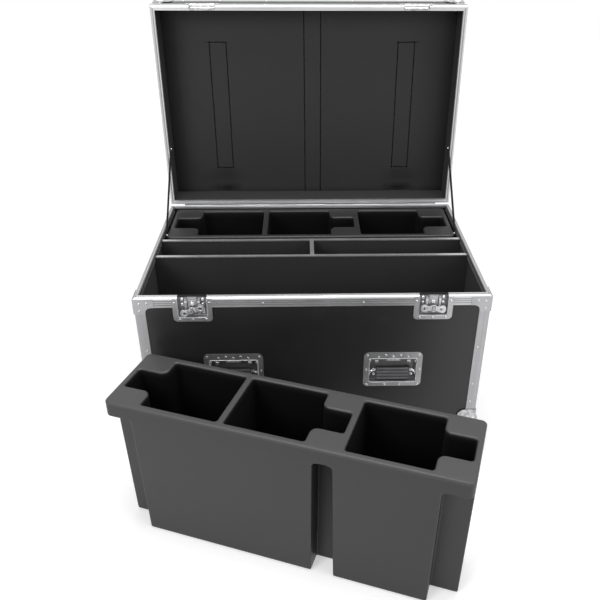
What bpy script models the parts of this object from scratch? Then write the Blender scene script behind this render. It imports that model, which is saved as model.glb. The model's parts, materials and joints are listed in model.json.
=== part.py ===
"""Lighting flight case: plywood box with aluminium edges, hinged lid, dividers and two lamp trays.

Metres, +Z up. The origin is the centre of the base panel's underside, the front faces -Y.
The lid stands open, as it is photographed, and turns about the hinge line at the rear.
"""
import math

import bmesh
import bpy
from mathutils import Matrix, Vector

# Driving sizes of the whole case
CASE_WIDTH = 1.000
CASE_DEPTH = 0.660
BODY_HEIGHT = 0.460
LID_HEIGHT = 0.130
CASTOR_HEIGHT = 0.137
OPEN_ANGLE = math.radians(91.1)

# Sheet goods and clearances
PANEL = 0.0095
BASE_PANEL = 0.0125
SHEET = 0.0018
GAP = 0.0003
SEAM = 0.0006
OVERRUN = 0.004

# Edge strips
EDGE_LEG = 0.031
EDGE_ROUND = 0.003
RIM_LEG = 0.031
RIM_WIDTH = 0.016
RIM_CORE = 0.005
RIM_ROUND = 0.007
RIM_INNER_LEG = 0.0066
TONGUE_WIDTH = 0.003
TONGUE_HEIGHT = 0.0025
TONGUE_INSET = 0.0115
TONGUE_CLEARANCE = 0.001
LINE_DEPTH = 0.0008
LINE_WIDTH = 0.0026
RIM_LINE_SHARES = (0.30, 0.51, 0.72)
POST_INSET = 0.0003

# Ball corners and rim corner plates
CORNER_FLANGE = 0.056
CORNER_SHEET = 0.0015
CORNER_ROUND = 0.022
BALL_RADIUS = 0.0245
BALL_INSET = 0.013
BRACE_LONG = 0.057
BRACE_TALL = 0.051
BRACE_SHEET = 0.0012
BRACE_FILLET = 0.016

# Butterfly latches
LATCH_END = 0.163
LATCH_WIDTH = 0.110
LATCH_HEIGHT = 0.076
LATCH_ROUND = 0.018
LATCH_SHEET = 0.0012
RECESS_WIDTH = 0.079
RECESS_HEIGHT = 0.062
RECESS_DEPTH = 0.0098
KEY_DROP = 0.040
KEY_HUB_RADIUS = 0.0085
KEY_SHAFT_RADIUS = 0.0045
KEY_HUB_LENGTH = 0.0042
KEY_TILTS = {"left": math.radians(-20.0), "right": math.radians(4.0)}
KEY_BOSS_WIDTH = 0.0056
KEY_BOSS_HEIGHT = 0.014
WING_REACH = 0.0355
WING_HEIGHT = 0.024
WING_SHEET = 0.0022
WING_HOLE_RADIUS = 0.0042
WING_PIN_OFFSET = 0.0055
WING_RIVET_CLEARANCE = 0.0006
WING_NECK_SHARE = 0.62
WING_STEP_SHARES = (0.38, 0.62)
WING_TIP_SHARE = 0.8
HOOK_WIDTH = 0.026
HOOK_SHEET = 0.002
HOOK_TOP_DROP = 0.0015
HOOK_LIP = 0.005
HOOK_TAIL = 0.012
HOOK_STROKE = 0.008
KEEPER_HEIGHT = 0.028
KEEPER_RECESS_HEIGHT = 0.016
KEEPER_BAR = 0.003
RIVET_RADIUS = 0.0028
RIVET_HEAD = 0.0010
RIVET_CROWN_SHARE = 0.6
RIVET_SHOULDER_SHARE = 0.4
RIVET_SIDES = 8

# Recessed spring handles
HANDLE_END = 0.266
HANDLE_DROP = 0.190
HANDLE_WIDTH = 0.173
HANDLE_HEIGHT = 0.122
HANDLE_ROUND = 0.016
HANDLE_SHEET = 0.0012
HANDLE_RECESS_WIDTH = 0.138
HANDLE_RECESS_HEIGHT = 0.082
HANDLE_RECESS_DEPTH = 0.015
HANDLE_RECESS_ROUND = 0.008
HANDLE_FOOT_MARGIN = 0.016
BAIL_ARM_RADIUS = 0.0038
BAIL_HALF_WIDTH = 0.059
BAIL_LENGTH = 0.057
BAIL_PIVOT_DROP = 0.010
BAIL_PIVOT_DEPTH = 0.0068
GRIP_LENGTH = 0.100
GRIP_HEIGHT = 0.040
GRIP_DEPTH = 0.011
STOP_WIDTH = 0.042
STOP_HEIGHT = 0.005
STOP_REACH = 0.006
HANDLE_RIVET_PITCH = 0.0216
HANDLE_RIVET_DROP = 0.0112
ARM_SHARE = 0.9
BAR_SHARE = 0.8
GRIP_ROUND_SHARE = 0.4
GRIP_SEAT_SHARE = 1.5

# Inside: dividers and caps
FRONT_BAY = 0.2535
ACCESSORY_BAY = 0.1045
CAP_SHEET = 0.0012
CAP_LEG = 0.0032
CAP_DROP = 0.0065

# Lamp trays
TRAY_END_CLEARANCE = 0.0159
TRAY_SIDE_CLEARANCE = 0.01485
TRAY_DROP = 0.0050
TRAY_MARGIN = 0.0155
TRAY_SKIRT = 0.046
TRAY_CORNER = 0.013
TRAY_EDGE = 0.006
TRAY_DRAFT = 0.005
TRAY_FLOOR = 0.016
POCKET_WEB = 0.0175
POCKET_NECK_LENGTH = 0.081
POCKET_WIDE_MARGIN = 0.0185
POCKET_NECK_WIDTH = 0.080
POCKET_ROUND = 0.012
POCKET_LIP = 0.005
BLOCK_WALL = 0.024
BLOCK_STEP = 0.0006
BLOCK_ROUND = 0.008
BLOCK_FOOT_ROUND = 0.012
FOOT_INSET_SHARES = (0.6, 0.15)
FOOT_RISE_SHARE = 0.3
FRONT_TRAY_X = -0.058
FRONT_TRAY_REACH = 0.302
FRONT_TRAY_TURN = math.radians(-19.3)

# Lid inside
FOAM = 0.015
FOAM_SIDE_GAP = 0.0005
FOAM_SLIT = 0.0025
FOAM_SLIT_DEPTH = 0.004
STRIP_WIDTH = 0.056
STRIP_X = 0.009
INSERT_END = 0.184
INSERT_LENGTH = 0.431
INSERT_REAR = 0.103
INSERT_NOTCH = 0.014

# Lid stays
STRAP_WIDTH = 0.025
STRAP_SHEET = 0.0030
STRAP_PAD = 0.020
STRAP_ROUND = 0.0075
STRAP_LID_REACH = 0.200
STRAP_LID_DEPTH = 0.022
STRAP_BODY_REACH = 0.207
STRAP_BODY_DROP = 0.022

# Hinge along the rear
HINGE_END = 0.050
HINGE_KNUCKLES = 9
HINGE_DROP = 0.003
HINGE_KNUCKLE_RADIUS = 0.0027
HINGE_PIN_RADIUS = 0.0012
HINGE_LEAF = 0.020
HINGE_LEAF_SHEET = 0.0012
HINGE_KNUCKLE_GAP = 0.0005
HINGE_ROOT_SHARE = 0.5

# Castors
CASTOR_END = 0.115
CASTOR_EDGE = 0.108
CASTOR_PLATE_LENGTH = 0.100
CASTOR_PLATE_WIDTH = 0.085
CASTOR_PLATE_SHEET = 0.003
CASTOR_PLATE_ROUND = 0.008
SWIVEL_RADIUS = 0.033
SWIVEL_HEIGHT = 0.011
WHEEL_RADIUS = 0.050
WHEEL_WIDTH = 0.032
WHEEL_HUB_RADIUS = 0.014
WHEEL_WEB_DEPTH = 0.006
WHEEL_TYRE = 0.010
WHEEL_SIDES = 24
AXLE_RADIUS = 0.006
FORK_SHEET = 0.003
FORK_SIDE_CLEARANCE = 0.002
FORK_TRAIL = 0.030
FORK_EYE_RADIUS = 0.014
FORK_BACK_SHARE = 0.6
FORK_FRONT_SHARE = 0.85
DIAGONAL = math.sqrt(0.5)

# Derived places
HALF_X = CASE_WIDTH / 2
HALF_Y = CASE_DEPTH / 2
FACE_X = HALF_X - SHEET - GAP
FACE_Y = HALF_Y - SHEET - GAP
INNER_X = FACE_X - PANEL
INNER_Y = FACE_Y - PANEL
WALL_TOP = BODY_HEIGHT - RIM_CORE - GAP
FRAME_BOTTOM = -SHEET - GAP
FRAME_TOP = FRAME_BOTTOM + EDGE_LEG
HINGE_LENGTH = CASE_WIDTH - 2 * HINGE_END
HINGE_Y = HALF_Y + HINGE_KNUCKLE_RADIUS + GAP
HINGE_Z = BODY_HEIGHT - HINGE_DROP
LID_BOTTOM = BODY_HEIGHT + SEAM
LID_TOP = BODY_HEIGHT + LID_HEIGHT
LID_PANEL_TOP = LID_TOP - SHEET - GAP
LID_PANEL_BOTTOM = LID_PANEL_TOP - PANEL
FRONT_DIVIDER_Y = -INNER_Y + FRONT_BAY + PANEL / 2
REAR_DIVIDER_Y = FRONT_DIVIDER_Y + PANEL + ACCESSORY_BAY
CAP_TOP = BODY_HEIGHT - CAP_DROP
DIVIDER_TOP = CAP_TOP - CAP_SHEET - GAP
FLOOR_INSIDE = BASE_PANEL + GAP
TRAY_HEIGHT = BODY_HEIGHT - TRAY_DROP - FLOOR_INSIDE
TRAY_LENGTH = 2 * (INNER_X - TRAY_END_CLEARANCE)
TRAY_WIDTH = INNER_Y - REAR_DIVIDER_Y - PANEL / 2 - 2 * TRAY_SIDE_CLEARANCE
REAR_TRAY_Y = (REAR_DIVIDER_Y + PANEL / 2 + INNER_Y) / 2
FRONT_TRAY_Y = -HALF_Y - FRONT_TRAY_REACH
POCKET_LENGTH = (TRAY_LENGTH - 2 * TRAY_MARGIN - 2 * POCKET_WEB) / 3
POCKET_WIDE_LENGTH = POCKET_LENGTH - POCKET_NECK_LENGTH
INSERT_SPREAD = HALF_X - INSERT_END
LATCH_X = HALF_X - LATCH_END
HANDLE_X = HALF_X - HANDLE_END
CASTOR_X = HALF_X - CASTOR_END
CASTOR_Y = HALF_Y - CASTOR_EDGE
LATCH_FACE = -HALF_Y - GAP - LATCH_SHEET
LATCH_BACK = -HALF_Y + RECESS_DEPTH
KEY_Z = BODY_HEIGHT - KEY_DROP
HANDLE_TOP = BODY_HEIGHT - HANDLE_DROP
HANDLE_FACE = -FACE_Y - GAP - HANDLE_SHEET
HANDLE_RECESS_FOOT = HANDLE_TOP - HANDLE_HEIGHT + HANDLE_FOOT_MARGIN
HANDLE_RECESS_TOP = HANDLE_RECESS_FOOT + HANDLE_RECESS_HEIGHT
BAIL_PIVOT_Y = HANDLE_FACE + BAIL_PIVOT_DEPTH
BAIL_PIVOT_Z = HANDLE_RECESS_TOP - BAIL_PIVOT_DROP
RIM_CLEAR_X = HALF_X - RIM_WIDTH - GAP
SIDES = (("left", -1), ("right", 1))


def clear_scene():
    for thing in list(bpy.data.objects):
        bpy.data.objects.remove(thing, do_unlink=True)


def material(name, colour, roughness, metallic):
    made = bpy.data.materials.new(name)
    made.use_nodes = True
    shader = made.node_tree.nodes["Principled BSDF"]
    shader.inputs["Base Color"].default_value = (*colour, 1.0)
    shader.inputs["Roughness"].default_value = roughness
    shader.inputs["Metallic"].default_value = metallic
    return made


# Solids


def add_loft(shape, rings):
    """Close a row of rings of equal count into one solid, the first and last ring capped."""
    rows = [[shape.verts.new(point) for point in ring] for ring in rings]
    count = len(rows[0])
    for low, high in zip(rows, rows[1:]):
        for i in range(count):
            j = (i + 1) % count
            shape.faces.new((low[i], low[j], high[j], high[i]))
    shape.faces.new(list(reversed(rows[0])))
    shape.faces.new(rows[-1])


def add_tube(shape, rings):
    """Join rings of equal count end to end into a closed hoop, such as a mitred frame."""
    rows = [[shape.verts.new(point) for point in ring] for ring in rings]
    count = len(rows[0])
    for low, high in zip(rows, rows[1:] + rows[:1]):
        for i in range(count):
            j = (i + 1) % count
            shape.faces.new((low[i], low[j], high[j], high[i]))


def along(axis, a, b, height):
    """A point of an outline (a, b) at a height along the named axis."""
    return {"X": (height, a, b), "Y": (a, height, b), "Z": (a, b, height)}[axis]


def add_prism(shape, outline, low, high, axis="Z"):
    add_loft(shape, [[along(axis, a, b, h) for a, b in outline] for h in (low, high)])


def add_box(shape, low, high):
    outline = [(low[0], low[1]), (high[0], low[1]), (high[0], high[1]), (low[0], high[1])]
    add_prism(shape, outline, low[2], high[2])


def circle(radius, sides, centre=(0.0, 0.0), turn=0.0):
    steps = [turn + 2 * math.pi * i / sides for i in range(sides)]
    return [(centre[0] + radius * math.cos(t), centre[1] + radius * math.sin(t)) for t in steps]


def rounded(corners, radius, steps=3):
    """The outline through the corners, each rounded; radius is one value or one per corner."""
    points = []
    count = len(corners)
    radii = radius if isinstance(radius, (list, tuple)) else [radius] * count
    for i in range(count):
        here = Vector(corners[i])
        if radii[i] == 0:
            points.append(tuple(here))
            continue
        back = (Vector(corners[i - 1]) - here).normalized()
        ahead = (Vector(corners[(i + 1) % count]) - here).normalized()
        half = back.angle(ahead) / 2
        centre = here + (back + ahead).normalized() * (radii[i] / math.sin(half))
        start = here + back * (radii[i] / math.tan(half)) - centre
        sweep = start.angle_signed(here + ahead * (radii[i] / math.tan(half)) - centre)
        for k in range(steps + 1):
            arm = start.copy()
            arm.rotate(Matrix.Rotation(-sweep * k / steps, 2))
            points.append(tuple(centre + arm))
    return points


def rectangle(low_a, low_b, high_a, high_b):
    return [(low_a, low_b), (high_a, low_b), (high_a, high_b), (low_a, high_b)]


def add_frame(shape, half_x, half_y, profile, flip=1):
    """Sweep a profile of (inset, z) round a rectangle with mitred corners."""
    signs = ((-1, -1), (1, -1), (1, 1), (-1, 1))
    rings = []
    for sx, sy in signs:
        rings.append([(sx * (half_x - inset), sy * (half_y - inset), flip * z) for inset, z in profile])
    add_tube(shape, rings)


def add_turned(shape, profile, sides, centre, axis="Z", turn=0.0):
    """Turn a closed profile of (radius, height) about the named axis through the centre."""
    rings = []
    for i in range(sides):
        angle = turn + 2 * math.pi * i / sides
        ring = [along(axis, r * math.cos(angle), r * math.sin(angle), h) for r, h in profile]
        rings.append([tuple(Vector(point) + Vector(centre)) for point in ring])
    add_tube(shape, rings)


def add_rod(shape, start, end, radius, sides=10):
    run = Vector(end) - Vector(start)
    turn = run.to_track_quat("Z", "Y").to_matrix()
    ends = []
    for place in (Vector(start), Vector(end)):
        ends.append([tuple(place + turn @ Vector((a, b, 0))) for a, b in circle(radius, sides)])
    add_loft(shape, ends)


def finish(name, shape, look=None, parent=None, smooth=30.0):
    """Make an object of the shape, with its faces pointing out."""
    bmesh.ops.recalc_face_normals(shape, faces=shape.faces)
    mesh = bpy.data.meshes.new(name)
    shape.to_mesh(mesh)
    shape.free()
    made = bpy.data.objects.new(name, mesh)
    bpy.context.collection.objects.link(made)
    if look:
        mesh.materials.append(look)
        mesh.shade_smooth()
        mesh.set_sharp_from_angle(angle=math.radians(smooth))
    else:
        made.hide_render = True
        made.display_type = "WIRE"
    if parent:
        made.parent = parent
    return made


def combine(made, other, operation="DIFFERENCE"):
    step = made.modifiers.new(other.name, "BOOLEAN")
    step.operation = operation
    step.solver = "EXACT"
    step.object = other
    other.parent = made.parent
    return made


def pivot(name, place, turn=(0.0, 0.0, 0.0), parent=None):
    made = bpy.data.objects.new(name, None)
    made.location = place
    made.rotation_euler = turn
    bpy.context.collection.objects.link(made)
    if parent:
        made.parent = parent
    return made


# Body panels


def body_panels(looks):
    walls = {
        "rear_panel": ((-FACE_X, INNER_Y, 0), (FACE_X, FACE_Y, WALL_TOP)),
        "left_panel": ((-FACE_X, -INNER_Y + GAP, 0), (-INNER_X, INNER_Y - GAP, WALL_TOP)),
        "right_panel": ((INNER_X, -INNER_Y + GAP, 0), (FACE_X, INNER_Y - GAP, WALL_TOP)),
        "base_panel": ((GAP - INNER_X, GAP - INNER_Y, 0), (INNER_X - GAP, INNER_Y - GAP, BASE_PANEL)),
    }
    for name, (low, high) in walls.items():
        shape = bmesh.new()
        add_box(shape, low, high)
        finish(name, shape, looks["laminate"])
    front_panel(looks)


def front_panel(looks):
    """The front wall, open where the latch dishes and the handle dishes are let in."""
    shape = bmesh.new()
    add_box(shape, (-FACE_X, -FACE_Y, 0), (FACE_X, -INNER_Y, WALL_TOP))
    made = finish("front_panel", shape, looks["laminate"])
    holes = bmesh.new()
    latch = LATCH_SHEET + GAP
    handle = HANDLE_SHEET + GAP
    for _, side in SIDES:
        x = side * LATCH_X
        half = RECESS_WIDTH / 2 + latch
        foot = BODY_HEIGHT - RECESS_HEIGHT - latch
        high = (x + half, -INNER_Y + OVERRUN, WALL_TOP + OVERRUN)
        add_box(holes, (x - half, -FACE_Y - OVERRUN, foot), high)
        x = side * HANDLE_X
        half = HANDLE_RECESS_WIDTH / 2 + handle
        low = (x - half, -FACE_Y - OVERRUN, HANDLE_RECESS_FOOT - handle)
        add_box(holes, low, (x + half, -INNER_Y + OVERRUN, HANDLE_RECESS_TOP + handle))
    combine(made, finish("front_panel_holes", holes))


# Aluminium edge strips


def angle_profile(bottom, leg_in, leg_up, sheet):
    """An angle strip seen end on: its flat leg runs in, its upright leg runs up, outer edge rounded."""
    corners = [(0, bottom), (leg_in, bottom), (leg_in, bottom + sheet)]
    corners += [(sheet, bottom + sheet), (sheet, bottom + leg_up), (0, bottom + leg_up)]
    return rounded(corners, [EDGE_ROUND, 0, 0, 0, 0, 0])


def add_post(shape, sx, sy, low, high, inset, sheet):
    """An upright corner angle between two heights, its legs running in from the corner."""
    leg = EDGE_LEG - inset
    corners = [(0, 0), (leg, 0), (leg, sheet), (sheet, sheet), (sheet, leg), (0, leg)]
    outline = rounded(corners, [EDGE_ROUND, 0, 0, 0, 0, 0])
    base_x = HALF_X - inset
    base_y = HALF_Y - inset
    add_prism(shape, [(sx * (base_x - a), sy * (base_y - b)) for a, b in outline], low, high)


def edge_frame(name, look, frame_bottom, post_top, flip=1, parent=None, shift=(0, 0, 0)):
    """The angle strips round the closed end of a box, with the four corner angles fixed to them."""
    shape = bmesh.new()
    add_frame(shape, HALF_X, HALF_Y, angle_profile(frame_bottom, EDGE_LEG, EDGE_LEG, SHEET), flip)
    posts = bmesh.new()
    overlap = EDGE_LEG / 2
    low = frame_bottom + EDGE_LEG - overlap
    for sx in (-1, 1):
        for sy in (-1, 1):
            ends = sorted((flip * low, flip * post_top))
            add_post(posts, sx, sy, ends[0], ends[1], POST_INSET, SHEET - 2 * POST_INSET)
    for part in (shape, posts):
        bmesh.ops.translate(part, verts=part.verts, vec=shift)
    made = finish(name, shape, look, parent)
    return combine(made, finish(name + "_posts", posts), "UNION")


def body_edge_frame(looks):
    edge_frame("body_edge_frame", looks["aluminium"], FRAME_BOTTOM, BODY_HEIGHT - RIM_LEG - GAP)


def rim_profile(tongue):
    """The rim rail end on, its seam face at zero and its legs running up from it.

    A tongue stands out of the seam face below zero; without it the face has the groove for one.
    """
    outer = rounded([(0, RIM_LEG), (0, 0), (RIM_WIDTH, 0)], [0, RIM_ROUND, 0], 4)
    corners = outer[:-1]
    middle = TONGUE_INSET
    if tongue:
        half = TONGUE_WIDTH / 2
        depth = -TONGUE_HEIGHT
    else:
        half = TONGUE_WIDTH / 2 + TONGUE_CLEARANCE
        depth = TONGUE_HEIGHT + GAP
    corners += [(middle - half, 0), (middle - half, depth), (middle + half, depth), (middle + half, 0)]
    channel = SHEET + 2 * GAP + PANEL
    corners += [(RIM_WIDTH, 0), (RIM_WIDTH, RIM_INNER_LEG), (channel, RIM_INNER_LEG), (channel, RIM_CORE)]
    corners += [(SHEET, RIM_CORE), (SHEET, RIM_LEG)]
    lines = []
    for share in RIM_LINE_SHARES:
        low = RIM_LEG * share
        high = low + LINE_WIDTH
        lines = [(0, high), (LINE_DEPTH, high), (LINE_DEPTH, low), (0, low)] + lines
    return corners[:1] + lines + corners[1:]


def rim_cutter(name, flip, reach):
    """The notches for the latches in the outer part of a rim rail."""
    shape = bmesh.new()
    depth = RECESS_DEPTH + LATCH_SHEET + GAP
    half = RECESS_WIDTH / 2 + LATCH_SHEET + GAP
    for _, side in SIDES:
        x = side * LATCH_X
        ends = sorted((flip * -OVERRUN, flip * reach))
        add_box(shape, (x - half, -HALF_Y - OVERRUN, ends[0]), (x + half, -HALF_Y + depth, ends[1]))
    return shape


def body_rim(looks):
    shape = bmesh.new()
    add_frame(shape, HALF_X, HALF_Y, rim_profile(True), -1)
    bmesh.ops.translate(shape, verts=shape.verts, vec=(0, 0, BODY_HEIGHT))
    made = finish("body_rim", shape, looks["aluminium"])
    notch = rim_cutter("body", -1, RIM_LEG + OVERRUN)
    bmesh.ops.translate(notch, verts=notch.verts, vec=(0, 0, BODY_HEIGHT))
    combine(made, finish("body_rim_notches", notch))


def rim_braces(looks):
    """Folded corner plates over the rim and the corner angle, at the two front corners."""
    for side_name, side in SIDES:
        out = GAP + BRACE_SHEET
        top = BODY_HEIGHT - RIM_ROUND / 2
        low = BODY_HEIGHT - BRACE_TALL
        knee = EDGE_LEG
        corners = [(-out, top), (-out, low), (knee, low), (knee, BODY_HEIGHT - RIM_LEG)]
        corners += [(BRACE_LONG, BODY_HEIGHT - RIM_LEG), (BRACE_LONG, top)]
        outline = rounded(corners, [0, 0, 0, BRACE_FILLET, 0, 0])
        shape = bmesh.new()
        front = [(side * (HALF_X - a), b) for a, b in outline]
        add_prism(shape, front, -HALF_Y - out, -HALF_Y - GAP, "Y")
        flank = bmesh.new()
        ends = sorted((side * (HALF_X + GAP), side * (HALF_X + out)))
        add_prism(flank, [(-HALF_Y + a, b) for a, b in outline], ends[0], ends[1], "X")
        made = finish("rim_brace_" + side_name, shape, looks["zinc"])
        combine(made, finish("rim_brace_flank_" + side_name, flank), "UNION")


# Ball corners


def corner_shape():
    """The flanges of a ball corner, round the corner of a box that lies towards +X, +Y and +Z."""
    shape = bmesh.new()
    low = -GAP - CORNER_SHEET
    corners = [(low, low), (CORNER_FLANGE, low), (CORNER_FLANGE, CORNER_FLANGE), (low, CORNER_FLANGE)]
    outline = rounded(corners, [0, 0, CORNER_ROUND, 0])
    add_prism(shape, outline, low, -GAP, "Z")
    return shape, outline, low


def ball_corner(name, looks, place, turn, parent=None):
    shape, outline, low = corner_shape()
    made = finish(name, shape, looks["zinc"], parent)
    extras = []
    for axis in ("X", "Y"):
        flange = bmesh.new()
        add_prism(flange, outline, low, -GAP, axis)
        extras.append(finish(name + "_flange_" + axis.lower(), flange))
    ball = bmesh.new()
    centre = Matrix.Translation((BALL_INSET, BALL_INSET, BALL_INSET))
    bmesh.ops.create_uvsphere(ball, u_segments=12, v_segments=6, radius=BALL_RADIUS, matrix=centre)
    extras.append(finish(name + "_ball", ball))
    inside = bmesh.new()
    reach = CORNER_FLANGE + BALL_RADIUS
    add_box(inside, (-GAP, -GAP, -GAP), (reach, reach, reach))
    for extra in extras:
        combine(made, extra, "UNION")
    hollow = finish(name + "_inside", inside)
    combine(made, hollow)
    for thing in [made, hollow] + extras:
        thing.location = place
        thing.rotation_euler = turn


def corner_turns():
    """Each corner's name, side signs and turn about Z of a piece made for the low X, low Y corner."""
    return (
        ("front_left", -1, -1, 0.0),
        ("front_right", 1, -1, math.pi / 2),
        ("rear_right", 1, 1, math.pi),
        ("rear_left", -1, 1, -math.pi / 2),
    )


def bottom_corners(looks):
    for name, sx, sy, turn in corner_turns():
        ball_corner("bottom_corner_" + name, looks, (sx * HALF_X, sy * HALF_Y, FRAME_BOTTOM), (0, 0, turn))


# Latches


def add_rivets(shape, places, face, inward):
    """Round rivet heads on a plate that faces -Y; each place is (x, z)."""
    for x, z in places:
        head = circle(RIVET_RADIUS, RIVET_SIDES, (x, z))
        crown = circle(RIVET_RADIUS * RIVET_CROWN_SHARE, RIVET_SIDES, (x, z))
        shoulder = face - RIVET_HEAD * RIVET_SHOULDER_SHARE
        rings = [(crown, face - RIVET_HEAD), (head, shoulder), (head, face + inward)]
        add_loft(shape, [[(a, y, b) for a, b in ring] for ring, y in rings])


def dish(name, look, outline, face, sheet, recess, rivets, parent=None):
    """A pressed dish: a flat flange with an outline, and a recess (low, high) sunk behind it."""
    shape = bmesh.new()
    add_prism(shape, outline, face, face + sheet, "Y")
    made = finish(name, shape, look, parent)
    low, high, open_top = recess
    tub = bmesh.new()
    wall = sheet
    top = high[2] + (0 if open_top else wall)
    add_box(tub, (low[0] - wall, face + sheet / 2, low[2] - wall), (high[0] + wall, high[1] + wall, top))
    combine(made, finish(name + "_tub", tub), "UNION")
    heads = bmesh.new()
    add_rivets(heads, rivets, face, sheet / 2)
    combine(made, finish(name + "_rivets", heads), "UNION")
    hollow = bmesh.new()
    top = high[2] + (OVERRUN if open_top else 0)
    add_box(hollow, (low[0], face - OVERRUN, low[2]), (high[0], high[1], top))
    combine(made, finish(name + "_hollow", hollow))
    return made


def latch_dish(side_name, side, looks):
    x = side * LATCH_X
    foot = BODY_HEIGHT - LATCH_HEIGHT
    top = BODY_HEIGHT - EDGE_ROUND
    corners = rectangle(x - LATCH_WIDTH / 2, foot, x + LATCH_WIDTH / 2, top)
    outline = rounded(corners, [LATCH_ROUND, LATCH_ROUND, 0, 0])
    low = (x - RECESS_WIDTH / 2, LATCH_FACE, BODY_HEIGHT - RECESS_HEIGHT)
    high = (x + RECESS_WIDTH / 2, LATCH_BACK, top)
    ear = (LATCH_WIDTH + RECESS_WIDTH) / 4
    lip = (foot + low[2]) / 2
    shelf = BODY_HEIGHT - RIM_LEG / 2
    corner = LATCH_WIDTH / 2 - LATCH_ROUND
    rivets = [(x - ear, shelf), (x + ear, shelf), (x - corner, lip), (x, lip), (x + corner, lip)]
    recess = (low, high, True)
    dish("latch_dish_" + side_name, looks["zinc"], outline, LATCH_FACE, LATCH_SHEET, recess, rivets)


def wing_front():
    return LATCH_FACE - RIVET_HEAD - WING_RIVET_CLEARANCE - WING_SHEET


def latch_pivot(side_name, side):
    place = (side * LATCH_X, 0, KEY_Z)
    return pivot("latch_spindle_" + side_name, place, (0, KEY_TILTS[side_name], 0))


def latch_key(side_name, looks, spindle):
    """The turning spindle: a shaft through the dish, a hub and two ears with the wings' pins."""
    shape = bmesh.new()
    back = LATCH_BACK - GAP
    hub_back = wing_front() + WING_SHEET + GAP + KEY_HUB_LENGTH
    shaft = circle(KEY_SHAFT_RADIUS, 12)
    hub = circle(KEY_HUB_RADIUS, 16)
    add_prism(shape, hub, wing_front() + WING_SHEET + GAP, hub_back, "Y")
    made = finish("latch_key_" + side_name, shape, looks["zinc"], spindle)
    core = bmesh.new()
    add_prism(core, shaft, wing_front() + WING_SHEET + 2 * GAP, back, "Y")
    combine(made, finish("latch_key_core_" + side_name, core), "UNION")
    boss = bmesh.new()
    half = KEY_BOSS_WIDTH / 2
    block = rounded(rectangle(-half, -KEY_BOSS_HEIGHT / 2, half, KEY_BOSS_HEIGHT / 2), half / 2)
    add_prism(boss, block, wing_front(), wing_front() + WING_SHEET + 2 * GAP, "Y")
    combine(made, finish("latch_key_boss_" + side_name, boss), "UNION")


def latch_wing(name, looks, spindle, side):
    """One butterfly wing, folding about its pin beside the spindle; made for its own place."""
    hinge = pivot(name + "_pin", (side * WING_PIN_OFFSET, wing_front() + WING_SHEET, 0), parent=spindle)
    reach = WING_REACH - WING_PIN_OFFSET
    half = WING_HEIGHT / 2
    neck = half * WING_NECK_SHARE
    near, far = [reach * share for share in WING_STEP_SHARES]
    tip = half * WING_TIP_SHARE
    corners = [(0, -neck), (near, -neck), (far, -half), (reach, -half)]
    corners += [(reach, half), (far, half), (near, neck), (0, neck)]
    outline = rounded(corners, [0, 0, 0, tip, tip, 0, 0, 0], 4)
    shape = bmesh.new()
    add_prism(shape, [(side * a, b) for a, b in outline], -WING_SHEET, 0, "Y")
    made = finish(name, shape, looks["zinc"], hinge)
    hole = bmesh.new()
    ring = circle(WING_HOLE_RADIUS, 12, (side * (reach - half), 0.0))
    add_prism(hole, ring, -2 * WING_SHEET, WING_SHEET, "Y")
    combine(made, finish(name + "_hole", hole))


def latch_hook(side_name, side, looks):
    """The draw plate behind the spindle, slotted round it, with the lip that holds the lid at its top."""
    x = side * LATCH_X
    back = LATCH_BACK - GAP
    front = back - HOOK_SHEET
    top = BODY_HEIGHT - HOOK_TOP_DROP
    foot = KEY_Z - HOOK_TAIL
    shape = bmesh.new()
    corners = rectangle(x - HOOK_WIDTH / 2, foot, x + HOOK_WIDTH / 2, top)
    add_prism(shape, rounded(corners, [HOOK_SHEET, HOOK_SHEET, 0, 0], 2), front, back, "Y")
    made = finish("latch_hook_" + side_name, shape, looks["zinc"])
    lip = bmesh.new()
    lip_low = (x - HOOK_WIDTH / 2, front - HOOK_LIP, top - HOOK_SHEET)
    add_box(lip, lip_low, (x + HOOK_WIDTH / 2, back - GAP, top))
    combine(made, finish("latch_hook_lip_" + side_name, lip), "UNION")
    slot = bmesh.new()
    half = KEY_SHAFT_RADIUS + 2 * GAP
    corners = rectangle(x - half, KEY_Z - half, x + half, KEY_Z + half + HOOK_STROKE)
    add_prism(slot, rounded(corners, KEY_SHAFT_RADIUS, 3), front - OVERRUN, back + OVERRUN, "Y")
    combine(made, finish("latch_hook_slot_" + side_name, slot))


def latches(looks):
    for side_name, side in SIDES:
        latch_dish(side_name, side, looks)
        spindle = latch_pivot(side_name, side)
        latch_key(side_name, looks, spindle)
        for wing_name, wing_side in SIDES:
            latch_wing("latch_" + side_name + "_wing_" + wing_name, looks, spindle, wing_side)
        latch_hook(side_name, side, looks)


# Handles


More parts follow.
